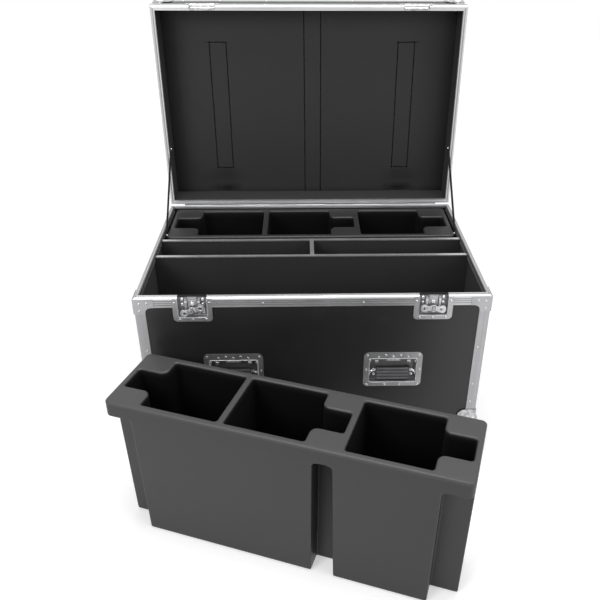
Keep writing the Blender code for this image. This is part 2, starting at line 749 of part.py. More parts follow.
def handle_dish(side_name, side, looks):
    x = side * HANDLE_X
    foot = HANDLE_TOP - HANDLE_HEIGHT
    outline = rounded(rectangle(x - HANDLE_WIDTH / 2, foot, x + HANDLE_WIDTH / 2, HANDLE_TOP), HANDLE_ROUND)
    low = (x - HANDLE_RECESS_WIDTH / 2, HANDLE_FACE, HANDLE_RECESS_FOOT)
    high = (x + HANDLE_RECESS_WIDTH / 2, HANDLE_FACE + HANDLE_RECESS_DEPTH, HANDLE_RECESS_TOP)
    ear = (HANDLE_WIDTH + HANDLE_RECESS_WIDTH) / 4
    lip = (foot + HANDLE_RECESS_FOOT) / 2
    upper = HANDLE_TOP - HANDLE_RIVET_DROP
    lower = (upper + HANDLE_RECESS_TOP) / 2
    corner = HANDLE_WIDTH / 2 - HANDLE_RIVET_DROP
    rivets = [(x - corner, upper), (x + corner, upper), (x - ear, (foot + HANDLE_TOP) / 2)]
    rivets += [(x + ear, (foot + HANDLE_TOP) / 2), (x - corner, lip), (x + corner, lip)]
    rivets += [(x - HANDLE_RIVET_PITCH, lip), (x + HANDLE_RIVET_PITCH, lip)]
    for step in range(-2, 3):
        rivets.append((x + step * HANDLE_RIVET_PITCH, lower if step % 2 == 0 else upper))
    name = "handle_dish_" + side_name
    made = dish(name, looks["zinc"], outline, HANDLE_FACE, HANDLE_SHEET, (low, high, False), rivets)
    stop = bmesh.new()
    reach_low = (x - STOP_WIDTH / 2, HANDLE_FACE + HANDLE_SHEET / 2, HANDLE_RECESS_TOP - STOP_HEIGHT)
    stop_top = HANDLE_RECESS_TOP + HANDLE_SHEET / 2
    add_box(stop, reach_low, (x + STOP_WIDTH / 2, HANDLE_FACE + HANDLE_SHEET + STOP_REACH, stop_top))
    combine(made, finish(name + "_stop", stop), "UNION")


def handle_bail(side_name, side, looks):
    """The sprung bail: a bent rod on two pivots at the top of the dish, with its grip moulded on."""
    hinge = pivot("handle_pivot_" + side_name, (side * HANDLE_X, BAIL_PIVOT_Y, BAIL_PIVOT_Z))
    shape = bmesh.new()
    half = BAIL_HALF_WIDTH
    reach = HANDLE_RECESS_WIDTH / 2 - GAP
    grip_z = -BAIL_LENGTH
    add_rod(shape, (-reach, 0, 0), (-half + BAIL_ARM_RADIUS, 0, 0), BAIL_ARM_RADIUS)
    made = finish("handle_bail_" + side_name, shape, looks["grip"], hinge)
    arm = BAIL_ARM_RADIUS * ARM_SHARE
    over = BAIL_ARM_RADIUS / 2
    rods = {
        "pivot": ((reach, 0, 0), (half - BAIL_ARM_RADIUS, 0, 0), BAIL_ARM_RADIUS),
        "arm_a": ((-half, 0, over), (-half, 0, grip_z - over), arm),
        "arm_b": ((half, 0, over), (half, 0, grip_z - over), arm),
        "bar": ((-half, 0, grip_z), (half, 0, grip_z), BAIL_ARM_RADIUS * BAR_SHARE),
    }
    for name, (start, end, radius) in rods.items():
        rod = bmesh.new()
        add_rod(rod, start, end, radius)
        combine(made, finish("handle_bail_" + side_name + "_" + name, rod, None, hinge), "UNION")
    grip = bmesh.new()
    corners = rectangle(-GRIP_DEPTH / 2, -GRIP_HEIGHT / 2, GRIP_DEPTH / 2, GRIP_HEIGHT / 2)
    flat = rounded(corners, GRIP_DEPTH * GRIP_ROUND_SHARE)
    lift = grip_z + GRIP_HEIGHT / 2 - BAIL_ARM_RADIUS * GRIP_SEAT_SHARE
    add_prism(grip, [(a, b + lift) for a, b in flat], -GRIP_LENGTH / 2, GRIP_LENGTH / 2, "X")
    combine(made, finish("handle_bail_" + side_name + "_grip", grip, None, hinge), "UNION")


# Dividers


def dividers(looks):
    """The two long dividers between the side walls, and the short one across."""
    span = INNER_X - GAP
    rows = {"front_divider": FRONT_DIVIDER_Y, "rear_divider": REAR_DIVIDER_Y}
    for name, y in rows.items():
        shape = bmesh.new()
        add_box(shape, (-span, y - PANEL / 2, FLOOR_INSIDE), (span, y + PANEL / 2, DIVIDER_TOP))
        finish(name, shape, looks["lining"])
    shape = bmesh.new()
    low = (-PANEL / 2, FRONT_DIVIDER_Y + PANEL / 2 + GAP, FLOOR_INSIDE)
    high = (PANEL / 2, REAR_DIVIDER_Y - PANEL / 2 - GAP, DIVIDER_TOP)
    add_box(shape, low, high)
    made = finish("cross_divider", shape, looks["lining"])
    relief = bmesh.new()
    sunk = CAP_TOP - CAP_LEG - GAP
    for y, inward in ((FRONT_DIVIDER_Y, 1), (REAR_DIVIDER_Y, -1)):
        edge = y + inward * (PANEL / 2 + 2 * GAP + CAP_SHEET)
        ends = sorted((y, edge))
        add_box(relief, (-PANEL, ends[0], sunk), (PANEL, ends[1], DIVIDER_TOP + OVERRUN))
    combine(made, finish("cross_divider_relief", relief))


def divider_caps(looks):
    """Channels over the dividers' top edges, the cross one riveted between the two long ones."""
    half = PANEL / 2 + GAP + CAP_SHEET
    span = RIM_CLEAR_X
    foot = CAP_TOP - CAP_LEG
    shape = bmesh.new()
    add_box(shape, (-span, FRONT_DIVIDER_Y - half, foot), (span, FRONT_DIVIDER_Y + half, CAP_TOP))
    made = finish("divider_caps", shape, looks["aluminium"])
    long_one = bmesh.new()
    add_box(long_one, (-span, REAR_DIVIDER_Y - half, foot), (span, REAR_DIVIDER_Y + half, CAP_TOP))
    cross = bmesh.new()
    add_box(cross, (-half, FRONT_DIVIDER_Y, foot), (half, REAR_DIVIDER_Y, CAP_TOP))
    combine(made, finish("divider_caps_rear", long_one), "UNION")
    combine(made, finish("divider_caps_cross", cross), "UNION")
    inner = PANEL / 2 + GAP
    roof = CAP_TOP - CAP_SHEET
    for name, y in (("front", FRONT_DIVIDER_Y), ("rear", REAR_DIVIDER_Y)):
        hollow = bmesh.new()
        add_box(hollow, (-span - OVERRUN, y - inner, foot - OVERRUN), (span + OVERRUN, y + inner, roof))
        combine(made, finish("divider_caps_hollow_" + name, hollow))
    hollow = bmesh.new()
    low = FRONT_DIVIDER_Y + inner + CAP_SHEET
    high = REAR_DIVIDER_Y - inner - CAP_SHEET
    add_box(hollow, (-inner, low, foot - OVERRUN), (inner, high, roof))
    combine(made, finish("divider_caps_hollow_cross", hollow))


# Lamp trays


def pocket_corners(start, neck_side, inset, middle):
    """The outline of one pocket: a wide well with a narrower neck at one end; inset draws it in."""
    end = start + POCKET_LENGTH
    if neck_side < 0:
        wide = (end - POCKET_WIDE_LENGTH, end)
        neck = start
    else:
        wide = (start, start + POCKET_WIDE_LENGTH)
        neck = end
    x0 = wide[0] + inset
    x1 = wide[1] - inset
    half = TRAY_WIDTH / 2 - POCKET_WIDE_MARGIN - inset
    slim = POCKET_NECK_WIDTH / 2 - inset
    low, high = middle - half, middle + half
    slim_low, slim_high = middle - slim, middle + slim
    if neck_side < 0:
        tip = neck + inset
        return [(x0, low), (x1, low), (x1, high), (x0, high),
                (x0, slim_high), (tip, slim_high), (tip, slim_low), (x0, slim_low)]
    tip = neck - inset
    return [(x0, low), (x1, low), (x1, slim_low), (tip, slim_low),
            (tip, slim_high), (x1, slim_high), (x1, high), (x0, high)]


def pocket_starts():
    """Where each pocket begins along the tray, and the side its neck is on."""
    step = POCKET_LENGTH + POCKET_WEB
    return [(TRAY_MARGIN, -1), (TRAY_MARGIN + step, 1), (TRAY_MARGIN + 2 * step, 1)]


def add_pocket(shape, start, neck_side, top):
    """The tool that cuts one pocket, flared at the deck by the rounded lip."""
    middle = TRAY_WIDTH / 2
    floor = TRAY_FLOOR
    levels = [(top + OVERRUN, -POCKET_LIP), (top, -POCKET_LIP)]
    for k in (1, 2):
        angle = math.pi / 2 * k / 2
        levels.append((top - POCKET_LIP * math.sin(angle), -POCKET_LIP * math.cos(angle)))
    levels += [(floor, TRAY_DRAFT / 2)]
    rings = []
    for z, inset in levels:
        outline = rounded(pocket_corners(start, neck_side, inset, middle), POCKET_ROUND, 2)
        rings.append([(a, b, z) for a, b in outline])
    add_loft(shape, rings)


def block_corners(inset):
    """The outline of the wells under the deck, which follows the pockets with a wall of foam."""
    starts = pocket_starts()
    margin = max(POCKET_WIDE_MARGIN - BLOCK_WALL, 0) + inset
    far = TRAY_WIDTH - margin
    neck = TRAY_WIDTH / 2 - POCKET_NECK_WIDTH / 2 - BLOCK_WALL + inset
    far_neck = TRAY_WIDTH - neck
    first = starts[0][0] + POCKET_LENGTH - POCKET_WIDE_LENGTH - BLOCK_WALL + inset
    second = starts[1][0] + POCKET_WIDE_LENGTH + BLOCK_WALL - inset
    third = starts[2][0] - BLOCK_WALL + inset
    fourth = starts[2][0] + POCKET_WIDE_LENGTH + BLOCK_WALL - inset
    left = inset
    right = TRAY_LENGTH - inset
    lower = [(left, neck), (first, neck), (first, margin), (second, margin), (second, neck)]
    lower += [(third, neck), (third, margin), (fourth, margin), (fourth, neck), (right, neck)]
    upper = [(a, TRAY_WIDTH - b) for a, b in reversed(lower)]
    return lower + upper


def tray(name, looks, centre, floor, turn=0.0):
    """A moulded tray: a deck with a skirt, wells below it and three pockets sunk into it."""
    holder = pivot(name + "_seat", (centre[0], centre[1], floor), (0, 0, turn))
    shift = (-TRAY_LENGTH / 2, -TRAY_WIDTH / 2, 0)
    deck = bmesh.new()
    rings = []
    top = TRAY_HEIGHT
    levels = [(top - TRAY_SKIRT, 0.0), (top - TRAY_EDGE, 0.0)]
    for k in (1, 2):
        angle = math.pi / 2 * k / 2
        levels.append((top - TRAY_EDGE * (1 - math.sin(angle)), TRAY_EDGE * (1 - math.cos(angle))))
    for z, inset in levels:
        corners = rectangle(inset, inset, TRAY_LENGTH - inset, TRAY_WIDTH - inset)
        rings.append([(a, b, z) for a, b in rounded(corners, TRAY_CORNER, 4)])
    add_loft(deck, rings)
    bmesh.ops.translate(deck, verts=deck.verts, vec=shift)
    made = finish(name, deck, looks["foam"], holder)
    wells = bmesh.new()
    rings = []
    tuck, ease = [TRAY_DRAFT + BLOCK_FOOT_ROUND * share for share in FOOT_INSET_SHARES]
    levels = [(0.0, tuck), (BLOCK_FOOT_ROUND * FOOT_RISE_SHARE, ease)]
    levels += [(BLOCK_FOOT_ROUND, TRAY_DRAFT), (top - TRAY_SKIRT / 2, BLOCK_STEP)]
    for z, inset in levels:
        rings.append([(a, b, z) for a, b in rounded(block_corners(inset), BLOCK_ROUND, 2)])
    add_loft(wells, rings)
    bmesh.ops.translate(wells, verts=wells.verts, vec=shift)
    combine(made, finish(name + "_wells", wells, None, holder), "UNION")
    for i, (start, neck_side) in enumerate(pocket_starts()):
        pocket = bmesh.new()
        add_pocket(pocket, start, neck_side, top)
        bmesh.ops.translate(pocket, verts=pocket.verts, vec=shift)
        combine(made, finish(name + "_pocket_" + str(i + 1), pocket, None, holder))
    return made


def trays(looks):
    tray("rear_tray", looks, (0, REAR_TRAY_Y), FLOOR_INSIDE)
    tray("front_tray", looks, (FRONT_TRAY_X, FRONT_TRAY_Y), -CASTOR_HEIGHT, FRONT_TRAY_TURN)


# Lid, modelled closed about the hinge line and opened by its pivot


def lid_place(y, z):
    return y - HINGE_Y, z - HINGE_Z


def lid_box(shape, low, high):
    y0, z0 = lid_place(low[1], low[2])
    y1, z1 = lid_place(high[1], high[2])
    add_box(shape, (low[0], y0, z0), (high[0], y1, z1))


def lid_panels(looks, hinge):
    shape = bmesh.new()
    inner_x = INNER_X - GAP
    inner_y = INNER_Y - GAP
    lid_box(shape, (-inner_x, -inner_y, LID_PANEL_BOTTOM), (inner_x, inner_y, LID_PANEL_TOP))
    finish("lid_panel", shape, looks["laminate"], hinge)
    walls = bmesh.new()
    foot = LID_BOTTOM + RIM_CORE + GAP
    face = SHEET + GAP
    profile = [(face, foot), (face + PANEL, foot), (face + PANEL, LID_PANEL_TOP), (face, LID_PANEL_TOP)]
    add_frame(walls, HALF_X, HALF_Y, profile)
    bmesh.ops.translate(walls, verts=walls.verts, vec=(0, -HINGE_Y, -HINGE_Z))
    made = finish("lid_walls", walls, looks["laminate"], hinge)
    holes = bmesh.new()
    fit = LATCH_SHEET + GAP
    for _, side in SIDES:
        x = side * LATCH_X
        half = RECESS_WIDTH / 2 + fit
        low = (x - half, -FACE_Y - OVERRUN, foot - OVERRUN)
        lid_box(holes, low, (x + half, -INNER_Y + OVERRUN, LID_BOTTOM + KEEPER_RECESS_HEIGHT + fit))
    combine(made, finish("lid_walls_holes", holes, None, hinge))


def lid_rim(looks, hinge):
    shape = bmesh.new()
    add_frame(shape, HALF_X, HALF_Y, rim_profile(False))
    made_shift = (0, -HINGE_Y, LID_BOTTOM - HINGE_Z)
    bmesh.ops.translate(shape, verts=shape.verts, vec=made_shift)
    made = finish("lid_rim", shape, looks["aluminium"], hinge)
    fit = LATCH_SHEET + GAP
    notch = rim_cutter("lid", 1, KEEPER_RECESS_HEIGHT + fit)
    bmesh.ops.translate(notch, verts=notch.verts, vec=made_shift)
    combine(made, finish("lid_rim_notches", notch, None, hinge))


def lid_edge_frame(looks, hinge):
    shift = (0, -HINGE_Y, -HINGE_Z)
    post_foot = LID_BOTTOM + RIM_LEG + GAP
    edge_frame("lid_edge_frame", looks["aluminium"], -LID_TOP, -post_foot, -1, hinge, shift)


def lid_corners(looks, hinge):
    """Ball corners at the lid's top, turned over so that they point down the box."""
    for name, sx, sy, turn in corner_turns():
        y, z = lid_place(sy * HALF_Y, LID_TOP)
        turned = (math.pi, 0, turn + math.pi / 2)
        ball_corner("lid_corner_" + name, looks, (sx * HALF_X, y, z), turned, hinge)


def lid_keeper(side_name, side, looks, hinge):
    """The upper half of a latch, with the bar that the hook pulls on."""
    x = side * LATCH_X
    foot = LID_BOTTOM + EDGE_ROUND
    top = LID_BOTTOM + KEEPER_HEIGHT
    corners = rectangle(x - LATCH_WIDTH / 2, foot, x + LATCH_WIDTH / 2, top)
    outline = rounded(corners, [0, 0, LATCH_ROUND / 2, LATCH_ROUND / 2])
    shape = bmesh.new()
    add_prism(shape, outline, LATCH_FACE, LATCH_FACE + LATCH_SHEET, "Y")
    tub = bmesh.new()
    wall = LATCH_SHEET
    half = RECESS_WIDTH / 2
    high = LID_BOTTOM + KEEPER_RECESS_HEIGHT
    tub_low = (x - half - wall, LATCH_FACE + wall / 2, foot)
    add_box(tub, tub_low, (x + half + wall, LATCH_BACK + wall, high + wall))
    hollow = bmesh.new()
    add_box(hollow, (x - half, LATCH_FACE - OVERRUN, foot - OVERRUN), (x + half, LATCH_BACK, high))
    bar = bmesh.new()
    bar_y = LATCH_FACE + KEEPER_BAR
    bar_z = foot + KEEPER_BAR
    ends = (x - half - wall / 2, x + half + wall / 2)
    add_rod(bar, (ends[0], bar_y, bar_z), (ends[1], bar_y, bar_z), KEEPER_BAR / 2, 8)
    heads = bmesh.new()
    ear = (LATCH_WIDTH + RECESS_WIDTH) / 4
    add_rivets(heads, [(x - ear, (foot + high) / 2), (x + ear, (foot + high) / 2)], LATCH_FACE, wall / 2)
    for part in (shape, tub, hollow, bar, heads):
        bmesh.ops.translate(part, verts=part.verts, vec=(0, -HINGE_Y, -HINGE_Z))
    name = "lid_keeper_" + side_name
    made = finish(name, shape, looks["zinc"], hinge)
    combine(made, finish(name + "_tub", tub), "UNION")
    combine(made, finish(name + "_hollow", hollow))
    combine(made, finish(name + "_bar", bar), "UNION")
    combine(made, finish(name + "_rivets", heads), "UNION")


def lid_foam(looks, hinge):
    """The foam lining under the lid's panel, with the slits round its loose strips."""
    half_x = INNER_X - FOAM_SIDE_GAP
    half_y = INNER_Y - FOAM_SIDE_GAP
    top = LID_PANEL_BOTTOM - GAP
    foot = top - FOAM
    shape = bmesh.new()
    lid_box(shape, (-half_x, -half_y, foot), (half_x, half_y, top))
    made = finish("lid_foam", shape, looks["foam"], hinge)
    slits = bmesh.new()
    deep = foot + FOAM_SLIT_DEPTH
    for edge in (-1, 1):
        x = STRIP_X + edge * STRIP_WIDTH / 2
        low = (x - FOAM_SLIT / 2, -half_y - OVERRUN, foot - OVERRUN)
        lid_box(slits, low, (x + FOAM_SLIT / 2, half_y + OVERRUN, deep))
    rear = HALF_Y - INSERT_REAR
    front = rear - INSERT_LENGTH
    slit = FOAM_SLIT / 2
    cross = bmesh.new()
    for _, side in SIDES:
        middle = STRIP_X + side * INSERT_SPREAD
        inner, outer = [middle + way * side * STRIP_WIDTH / 2 for way in (-1, 1)]
        for x in (inner, outer):
            lid_box(slits, (x - slit, front, foot - OVERRUN), (x + slit, rear, deep))
        for y, far in ((front, outer + side * INSERT_NOTCH), (rear, outer + side * slit)):
            ends = sorted((inner - side * slit, far))
            lid_box(cross, (ends[0], y - slit, foot - OVERRUN), (ends[1], y + slit, deep))
    combine(made, finish("lid_foam_slits", slits, None, hinge))
    combine(made, finish("lid_foam_cross_slits", cross, None, hinge))


def straps(looks):
    """Flat stays from the lid's side walls to the body's, pulled straight by the open lid."""
    open_dir = Vector((math.sin(OPEN_ANGLE - math.pi / 2), math.cos(OPEN_ANGLE - math.pi / 2)))
    behind = Vector((open_dir[1], -open_dir[0]))
    lid_point = Vector((HINGE_Y, HINGE_Z)) + open_dir * STRAP_LID_REACH + behind * STRAP_LID_DEPTH
    body_point = Vector((HALF_Y - STRAP_BODY_REACH, BODY_HEIGHT - STRAP_BODY_DROP))
    run = (lid_point - body_point).normalized()
    across = Vector((-run[1], run[0])) * (STRAP_WIDTH / 2)
    end = run * (STRAP_WIDTH / 2)
    corners = [body_point - end - across, body_point - end + across]
    corners += [lid_point + end + across, lid_point + end - across]
    outline = rounded([tuple(c) for c in corners], STRAP_ROUND)
    for side_name, side in SIDES:
        shape = bmesh.new()
        ends = sorted((side * RIM_CLEAR_X, side * (RIM_CLEAR_X - STRAP_SHEET)))
        add_prism(shape, outline, ends[0], ends[1], "X")
        made = finish("stay_strap_" + side_name, shape, looks["strap"])
        for end_name, point in (("lid", lid_point), ("body", body_point)):
            pad = bmesh.new()
            ends = sorted((side * (RIM_CLEAR_X - STRAP_SHEET / 2), side * (INNER_X - GAP)))
            add_prism(pad, circle(STRAP_PAD / 2, 12, tuple(point)), ends[0], ends[1], "X")
            combine(made, finish("stay_strap_" + side_name + "_" + end_name, pad), "UNION")


# Hinge


def hinge_leaves(looks, hinge):
    """A long hinge on the rear: leaves on the outer faces of the rims, knuckles by turns, one pin."""
    step = HINGE_LENGTH / HINGE_KNUCKLES
    for name, keep, flip, parent in (("hinge_body_leaf", 0, -1, None), ("hinge_lid_leaf", 1, 1, hinge)):
        origin = (0.0, 0.0) if parent else (HINGE_Y, HINGE_Z)
        near = origin[0] - HINGE_Y + HALF_Y + GAP if parent is None else HALF_Y - HINGE_Y + GAP
        leaf = bmesh.new()
        root = flip * HINGE_KNUCKLE_RADIUS * HINGE_ROOT_SHARE
        ends = sorted((origin[1] + root, origin[1] + flip * HINGE_LEAF))
        far = (HINGE_LENGTH / 2, near + HINGE_LEAF_SHEET, ends[1])
        add_box(leaf, (-HINGE_LENGTH / 2, near, ends[0]), far)
        made = finish(name, leaf, looks["zinc"], parent)
        knuckles = bmesh.new()
        spaces = bmesh.new()
        for i in range(HINGE_KNUCKLES):
            low = -HINGE_LENGTH / 2 + i * step + HINGE_KNUCKLE_GAP / 2
            high = low + step - HINGE_KNUCKLE_GAP
            ring = circle(HINGE_KNUCKLE_RADIUS, 10, origin)
            if i % 2 == keep:
                add_prism(knuckles, ring, low, high, "X")
            else:
                reach = HINGE_KNUCKLE_RADIUS + GAP
                extra = HINGE_KNUCKLE_GAP
                space_low = (low - extra, origin[0] - reach, origin[1] - reach)
                add_box(spaces, space_low, (high + extra, origin[0] + reach, origin[1] + reach))
        combine(made, finish(name + "_knuckles", knuckles, None, parent), "UNION")
        combine(made, finish(name + "_spaces", spaces, None, parent))
        pin = bmesh.new()
        extra = OVERRUN if parent else 0
        radius = HINGE_PIN_RADIUS + (GAP if parent else 0)
        reach = HINGE_LENGTH / 2 + extra - GAP
        add_prism(pin, circle(radius, 10, origin), -reach, reach, "X")
        combine(made, finish(name + "_pin", pin, None, parent), "DIFFERENCE" if parent else "UNION")


# Castors


def castor_plate(name, looks, x, y):
    shape = bmesh.new()
    low = (x - CASTOR_PLATE_LENGTH / 2, y - CASTOR_PLATE_WIDTH / 2)
    high = (x + CASTOR_PLATE_LENGTH / 2, y + CASTOR_PLATE_WIDTH / 2)
    outline = rounded(rectangle(low[0], low[1], high[0], high[1]), CASTOR_PLATE_ROUND)
    add_prism(shape, outline, -GAP - CASTOR_PLATE_SHEET, -GAP)
    finish(name, shape, looks["zinc"])


def castor_fork(name, looks, x, y):
    """The swivel head with its two legs, and the axle bolt across them."""
    head_top = -2 * GAP - CASTOR_PLATE_SHEET
    head_foot = head_top - SWIVEL_HEIGHT
    axle_z = WHEEL_RADIUS - CASTOR_HEIGHT
    inner = WHEEL_WIDTH / 2 + FORK_SIDE_CLEARANCE
    outer = inner + FORK_SHEET
    shape = bmesh.new()
    add_prism(shape, circle(SWIVEL_RADIUS, 16), head_foot, head_top)
    made_parent = pivot(name + "_swivel", (x, y, 0))
    made = finish(name, shape, looks["zinc"], made_parent)
    legs = bmesh.new()
    eye = FORK_EYE_RADIUS
    slant = eye * DIAGONAL
    shoulder = head_foot + SWIVEL_HEIGHT / 2
    profile = [(-SWIVEL_RADIUS * FORK_BACK_SHARE, shoulder), (FORK_TRAIL - eye, axle_z)]
    profile += [(FORK_TRAIL - slant, axle_z - slant), (FORK_TRAIL, axle_z - eye)]
    profile += [(FORK_TRAIL + slant, axle_z - slant), (FORK_TRAIL + eye, axle_z)]
    profile += [(SWIVEL_RADIUS * FORK_FRONT_SHARE, shoulder)]
    for side in (-1, 1):
        ends = sorted((side * inner, side * outer))
        add_prism(legs, profile, ends[0], ends[1], "X")
    combine(made, finish(name + "_legs", legs, None, made_parent), "UNION")
    axle = bmesh.new()
    reach = outer + FORK_SHEET
    add_prism(axle, circle(AXLE_RADIUS, 12, (FORK_TRAIL, axle_z)), -reach, reach, "X")
    combine(made, finish(name + "_axle", axle, None, made_parent), "UNION")


def castor_wheel(name, looks, x, y):
    """A solid wheel: tyre, recessed web and hub, with a bore that clears the axle."""
    axle_z = WHEEL_RADIUS - CASTOR_HEIGHT
    facet = 1 / math.cos(math.pi / WHEEL_SIDES)
    bore = (AXLE_RADIUS + GAP) * facet
    half = WHEEL_WIDTH / 2
    web = half - WHEEL_WEB_DEPTH
    rim = WHEEL_RADIUS - WHEEL_TYRE
    tread = WHEEL_RADIUS * facet
    side = [(bore, half), (WHEEL_HUB_RADIUS, half), (WHEEL_HUB_RADIUS, web)]
    side += [(rim, web), (rim, half), (tread, half)]
    profile = side + [(r, -h) for r, h in reversed(side)]
    hub = pivot(name + "_axle", (x, y + FORK_TRAIL, axle_z))
    shape = bmesh.new()
    add_turned(shape, profile, WHEEL_SIDES, (0, 0, 0), "X", math.pi / WHEEL_SIDES)
    finish(name, shape, looks["wheel"], hub)


def castors(looks):
    for name, sx, sy, _ in corner_turns():
        x = sx * CASTOR_X
        y = sy * CASTOR_Y
        castor_plate("castor_plate_" + name, looks, x, y)
        castor_fork("castor_fork_" + name, looks, x, y)
        castor_wheel("castor_wheel_" + name, looks, x, y)


def make_looks():
    return {
        "laminate": material("black_laminate", (0.030, 0.031, 0.033), 0.42, 0.0),
        "aluminium": material("anodised_aluminium", (0.62, 0.63, 0.64), 0.34, 1.0),
        "zinc": material("zinc_plated_steel", (0.56, 0.57, 0.58), 0.28, 1.0),
        "lining": material("black_lining", (0.026, 0.026, 0.028), 0.85, 0.0),
        "foam": material("moulded_foam", (0.055, 0.056, 0.059), 0.80, 0.0),
        "grip": material("black_grip", (0.022, 0.022, 0.024), 0.60, 0.0),
        "strap": material("black_webbing", (0.018, 0.018, 0.020), 0.85, 0.0),
        "wheel": material("castor_wheel", (0.050, 0.051, 0.055), 0.60, 0.0),
    }


def main():
    clear_scene()
    looks = make_looks()
    body_panels(looks)
    body_edge_frame(looks)
    body_rim(looks)
    rim_braces(looks)
    bottom_corners(looks)
    latches(looks)
    for side_name, side in SIDES:
        handle_dish(side_name, side, looks)
        handle_bail(side_name, side, looks)
    dividers(looks)
    divider_caps(looks)
    trays(looks)
    hinge = pivot("lid_hinge", (0, HINGE_Y, HINGE_Z), (-OPEN_ANGLE, 0, 0))
    lid_panels(looks, hinge)
    lid_rim(looks, hinge)
    lid_edge_frame(looks, hinge)
    lid_corners(looks, hinge)
    for side_name, side in SIDES:
        lid_keeper(side_name, side, looks, hinge)
    lid_foam(looks, hinge)
    straps(looks)
    hinge_leaves(looks, hinge)
    castors(looks)


main()
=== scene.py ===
"""Lighting flight case: its finishes, its soft and fine pieces, and the studio round it."""
import json
import math

import bmesh
import bpy
from bpy.props import FloatProperty, FloatVectorProperty, PointerProperty
from mathutils import Matrix, Vector


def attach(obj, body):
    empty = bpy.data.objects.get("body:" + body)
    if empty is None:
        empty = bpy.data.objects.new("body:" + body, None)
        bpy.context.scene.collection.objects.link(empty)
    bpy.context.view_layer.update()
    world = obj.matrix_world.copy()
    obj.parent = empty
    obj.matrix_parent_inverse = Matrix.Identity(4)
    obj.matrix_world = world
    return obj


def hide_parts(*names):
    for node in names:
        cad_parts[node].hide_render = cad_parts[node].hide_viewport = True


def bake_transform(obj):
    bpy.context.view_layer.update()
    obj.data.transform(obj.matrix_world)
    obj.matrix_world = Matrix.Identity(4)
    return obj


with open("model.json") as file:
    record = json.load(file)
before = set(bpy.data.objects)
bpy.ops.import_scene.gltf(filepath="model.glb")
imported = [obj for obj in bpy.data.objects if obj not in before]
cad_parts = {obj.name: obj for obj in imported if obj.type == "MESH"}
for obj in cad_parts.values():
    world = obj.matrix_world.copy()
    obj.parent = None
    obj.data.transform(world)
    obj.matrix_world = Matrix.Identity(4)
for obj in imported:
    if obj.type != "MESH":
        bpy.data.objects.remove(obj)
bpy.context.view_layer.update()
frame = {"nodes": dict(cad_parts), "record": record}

bl_info = {
    "name": "Lighting Flight Case",
    "version": (1, 0, 0),
    "blender": (4, 5, 0),
    "location": "3D View > Sidebar > Flight Case",
    "description": "Dresses a packed flight case with trays, lining, straps and finishes",
    "category": "Object",
}

# Sizes that the case's own model gives, in metres
HALF_X = 0.500
HALF_Y = 0.330
BODY_HEIGHT = 0.460
LID_HEIGHT = 0.130
FLOOR_Z = -0.137
FRAME_BOTTOM = -0.0021
LID_BOTTOM = 0.4606
PANEL = 0.0095
SHEET = 0.0018
GAP = 0.0003
INNER_X = HALF_X - SHEET - GAP - PANEL
INNER_Y = HALF_Y - SHEET - GAP - PANEL
HINGE_Y = 0.333
HINGE_Z = 0.457
OPEN_ANGLE = math.radians(91.1)
LID_TOP = BODY_HEIGHT + LID_HEIGHT

LATCH_X = 0.337

SIDES = (("left", -1), ("right", 1))


# Modelling by operators


def clear_selection():
    if bpy.context.object and bpy.context.object.mode != "OBJECT":
        bpy.ops.object.mode_set(mode="OBJECT")
    bpy.ops.object.select_all(action="DESELECT")


def choose(*pieces):
    clear_selection()
    for piece in pieces:
        piece.select_set(True)
    bpy.context.view_layer.objects.active = pieces[0]


def settle(piece):
    """Move a piece's place, turn and scale into its mesh."""
    choose(piece)
    bpy.ops.object.transform_apply(location=True, rotation=True, scale=True)
    return piece


def named(name):
    piece = bpy.context.object
    piece.name = name
    piece.data.name = name
    return settle(piece)


def cube(name, low, high):
    clear_selection()
    centre = [(a + b) / 2 for a, b in zip(low, high)]
    size = [b - a for a, b in zip(low, high)]
    bpy.ops.mesh.primitive_cube_add(size=1, location=centre, scale=size)
    return named(name)


def cylinder(name, centre, radius, depth, axis="Z", sides=24):
    clear_selection()
    turn = {"X": (0, math.pi / 2, 0), "Y": (math.pi / 2, 0, 0), "Z": (0, 0, 0)}[axis]
    bpy.ops.mesh.primitive_cylinder_add(
        vertices=sides, radius=radius, depth=depth, location=centre, rotation=turn)
    return named(name)


def edit(piece, kind="FACE"):
    """Open a piece in edit mode with nothing selected."""
    choose(piece)
    bpy.ops.object.mode_set(mode="EDIT")
    bpy.ops.mesh.select_mode(type=kind)
    bpy.ops.mesh.select_all(action="DESELECT")


def done():
    bpy.ops.object.mode_set(mode="OBJECT")


def pick(piece, kind, test):
    """Select only the faces, edges or vertices that pass the test."""
    bpy.ops.mesh.select_mode(type=kind)
    bpy.ops.mesh.select_all(action="DESELECT")
    shape = bmesh.from_edit_mesh(piece.data)
    for part in {"FACE": shape.faces, "EDGE": shape.edges, "VERT": shape.verts}[kind]:
        if test(part):
            part.select_set(True)
    bmesh.update_edit_mesh(piece.data)


def pick_faces(piece, test):
    """Select the faces whose centre and normal pass the test."""
    pick(piece, "FACE", lambda face: test(face.calc_center_median(), face.normal))


def pick_side(piece, axis, way):
    """Select the faces that look along an axis, forwards or backwards."""
    pick_faces(piece, lambda centre, normal: normal[axis] * way > 0.9)


def pick_edges(piece, test, sharp=30.0):
    """Select the edges whose ends pass the test and whose faces meet at more than an angle."""
    pick(piece, "EDGE", lambda edge: math.degrees(edge.calc_face_angle(0.0)) > sharp
         and test(edge.verts[0].co, edge.verts[1].co))


def pick_verts(piece, test):
    pick(piece, "VERT", lambda vert: test(vert.co))


def slice_at(axis, place, whole=True):
    """Cut the piece being edited, or only what is selected, with a plane across an axis."""
    if whole:
        bpy.ops.mesh.select_all(action="SELECT")
    normal = [0, 0, 0]
    normal[axis] = 1
    point = [0, 0, 0]
    point[axis] = place
    bpy.ops.mesh.bisect(plane_co=point, plane_no=normal)


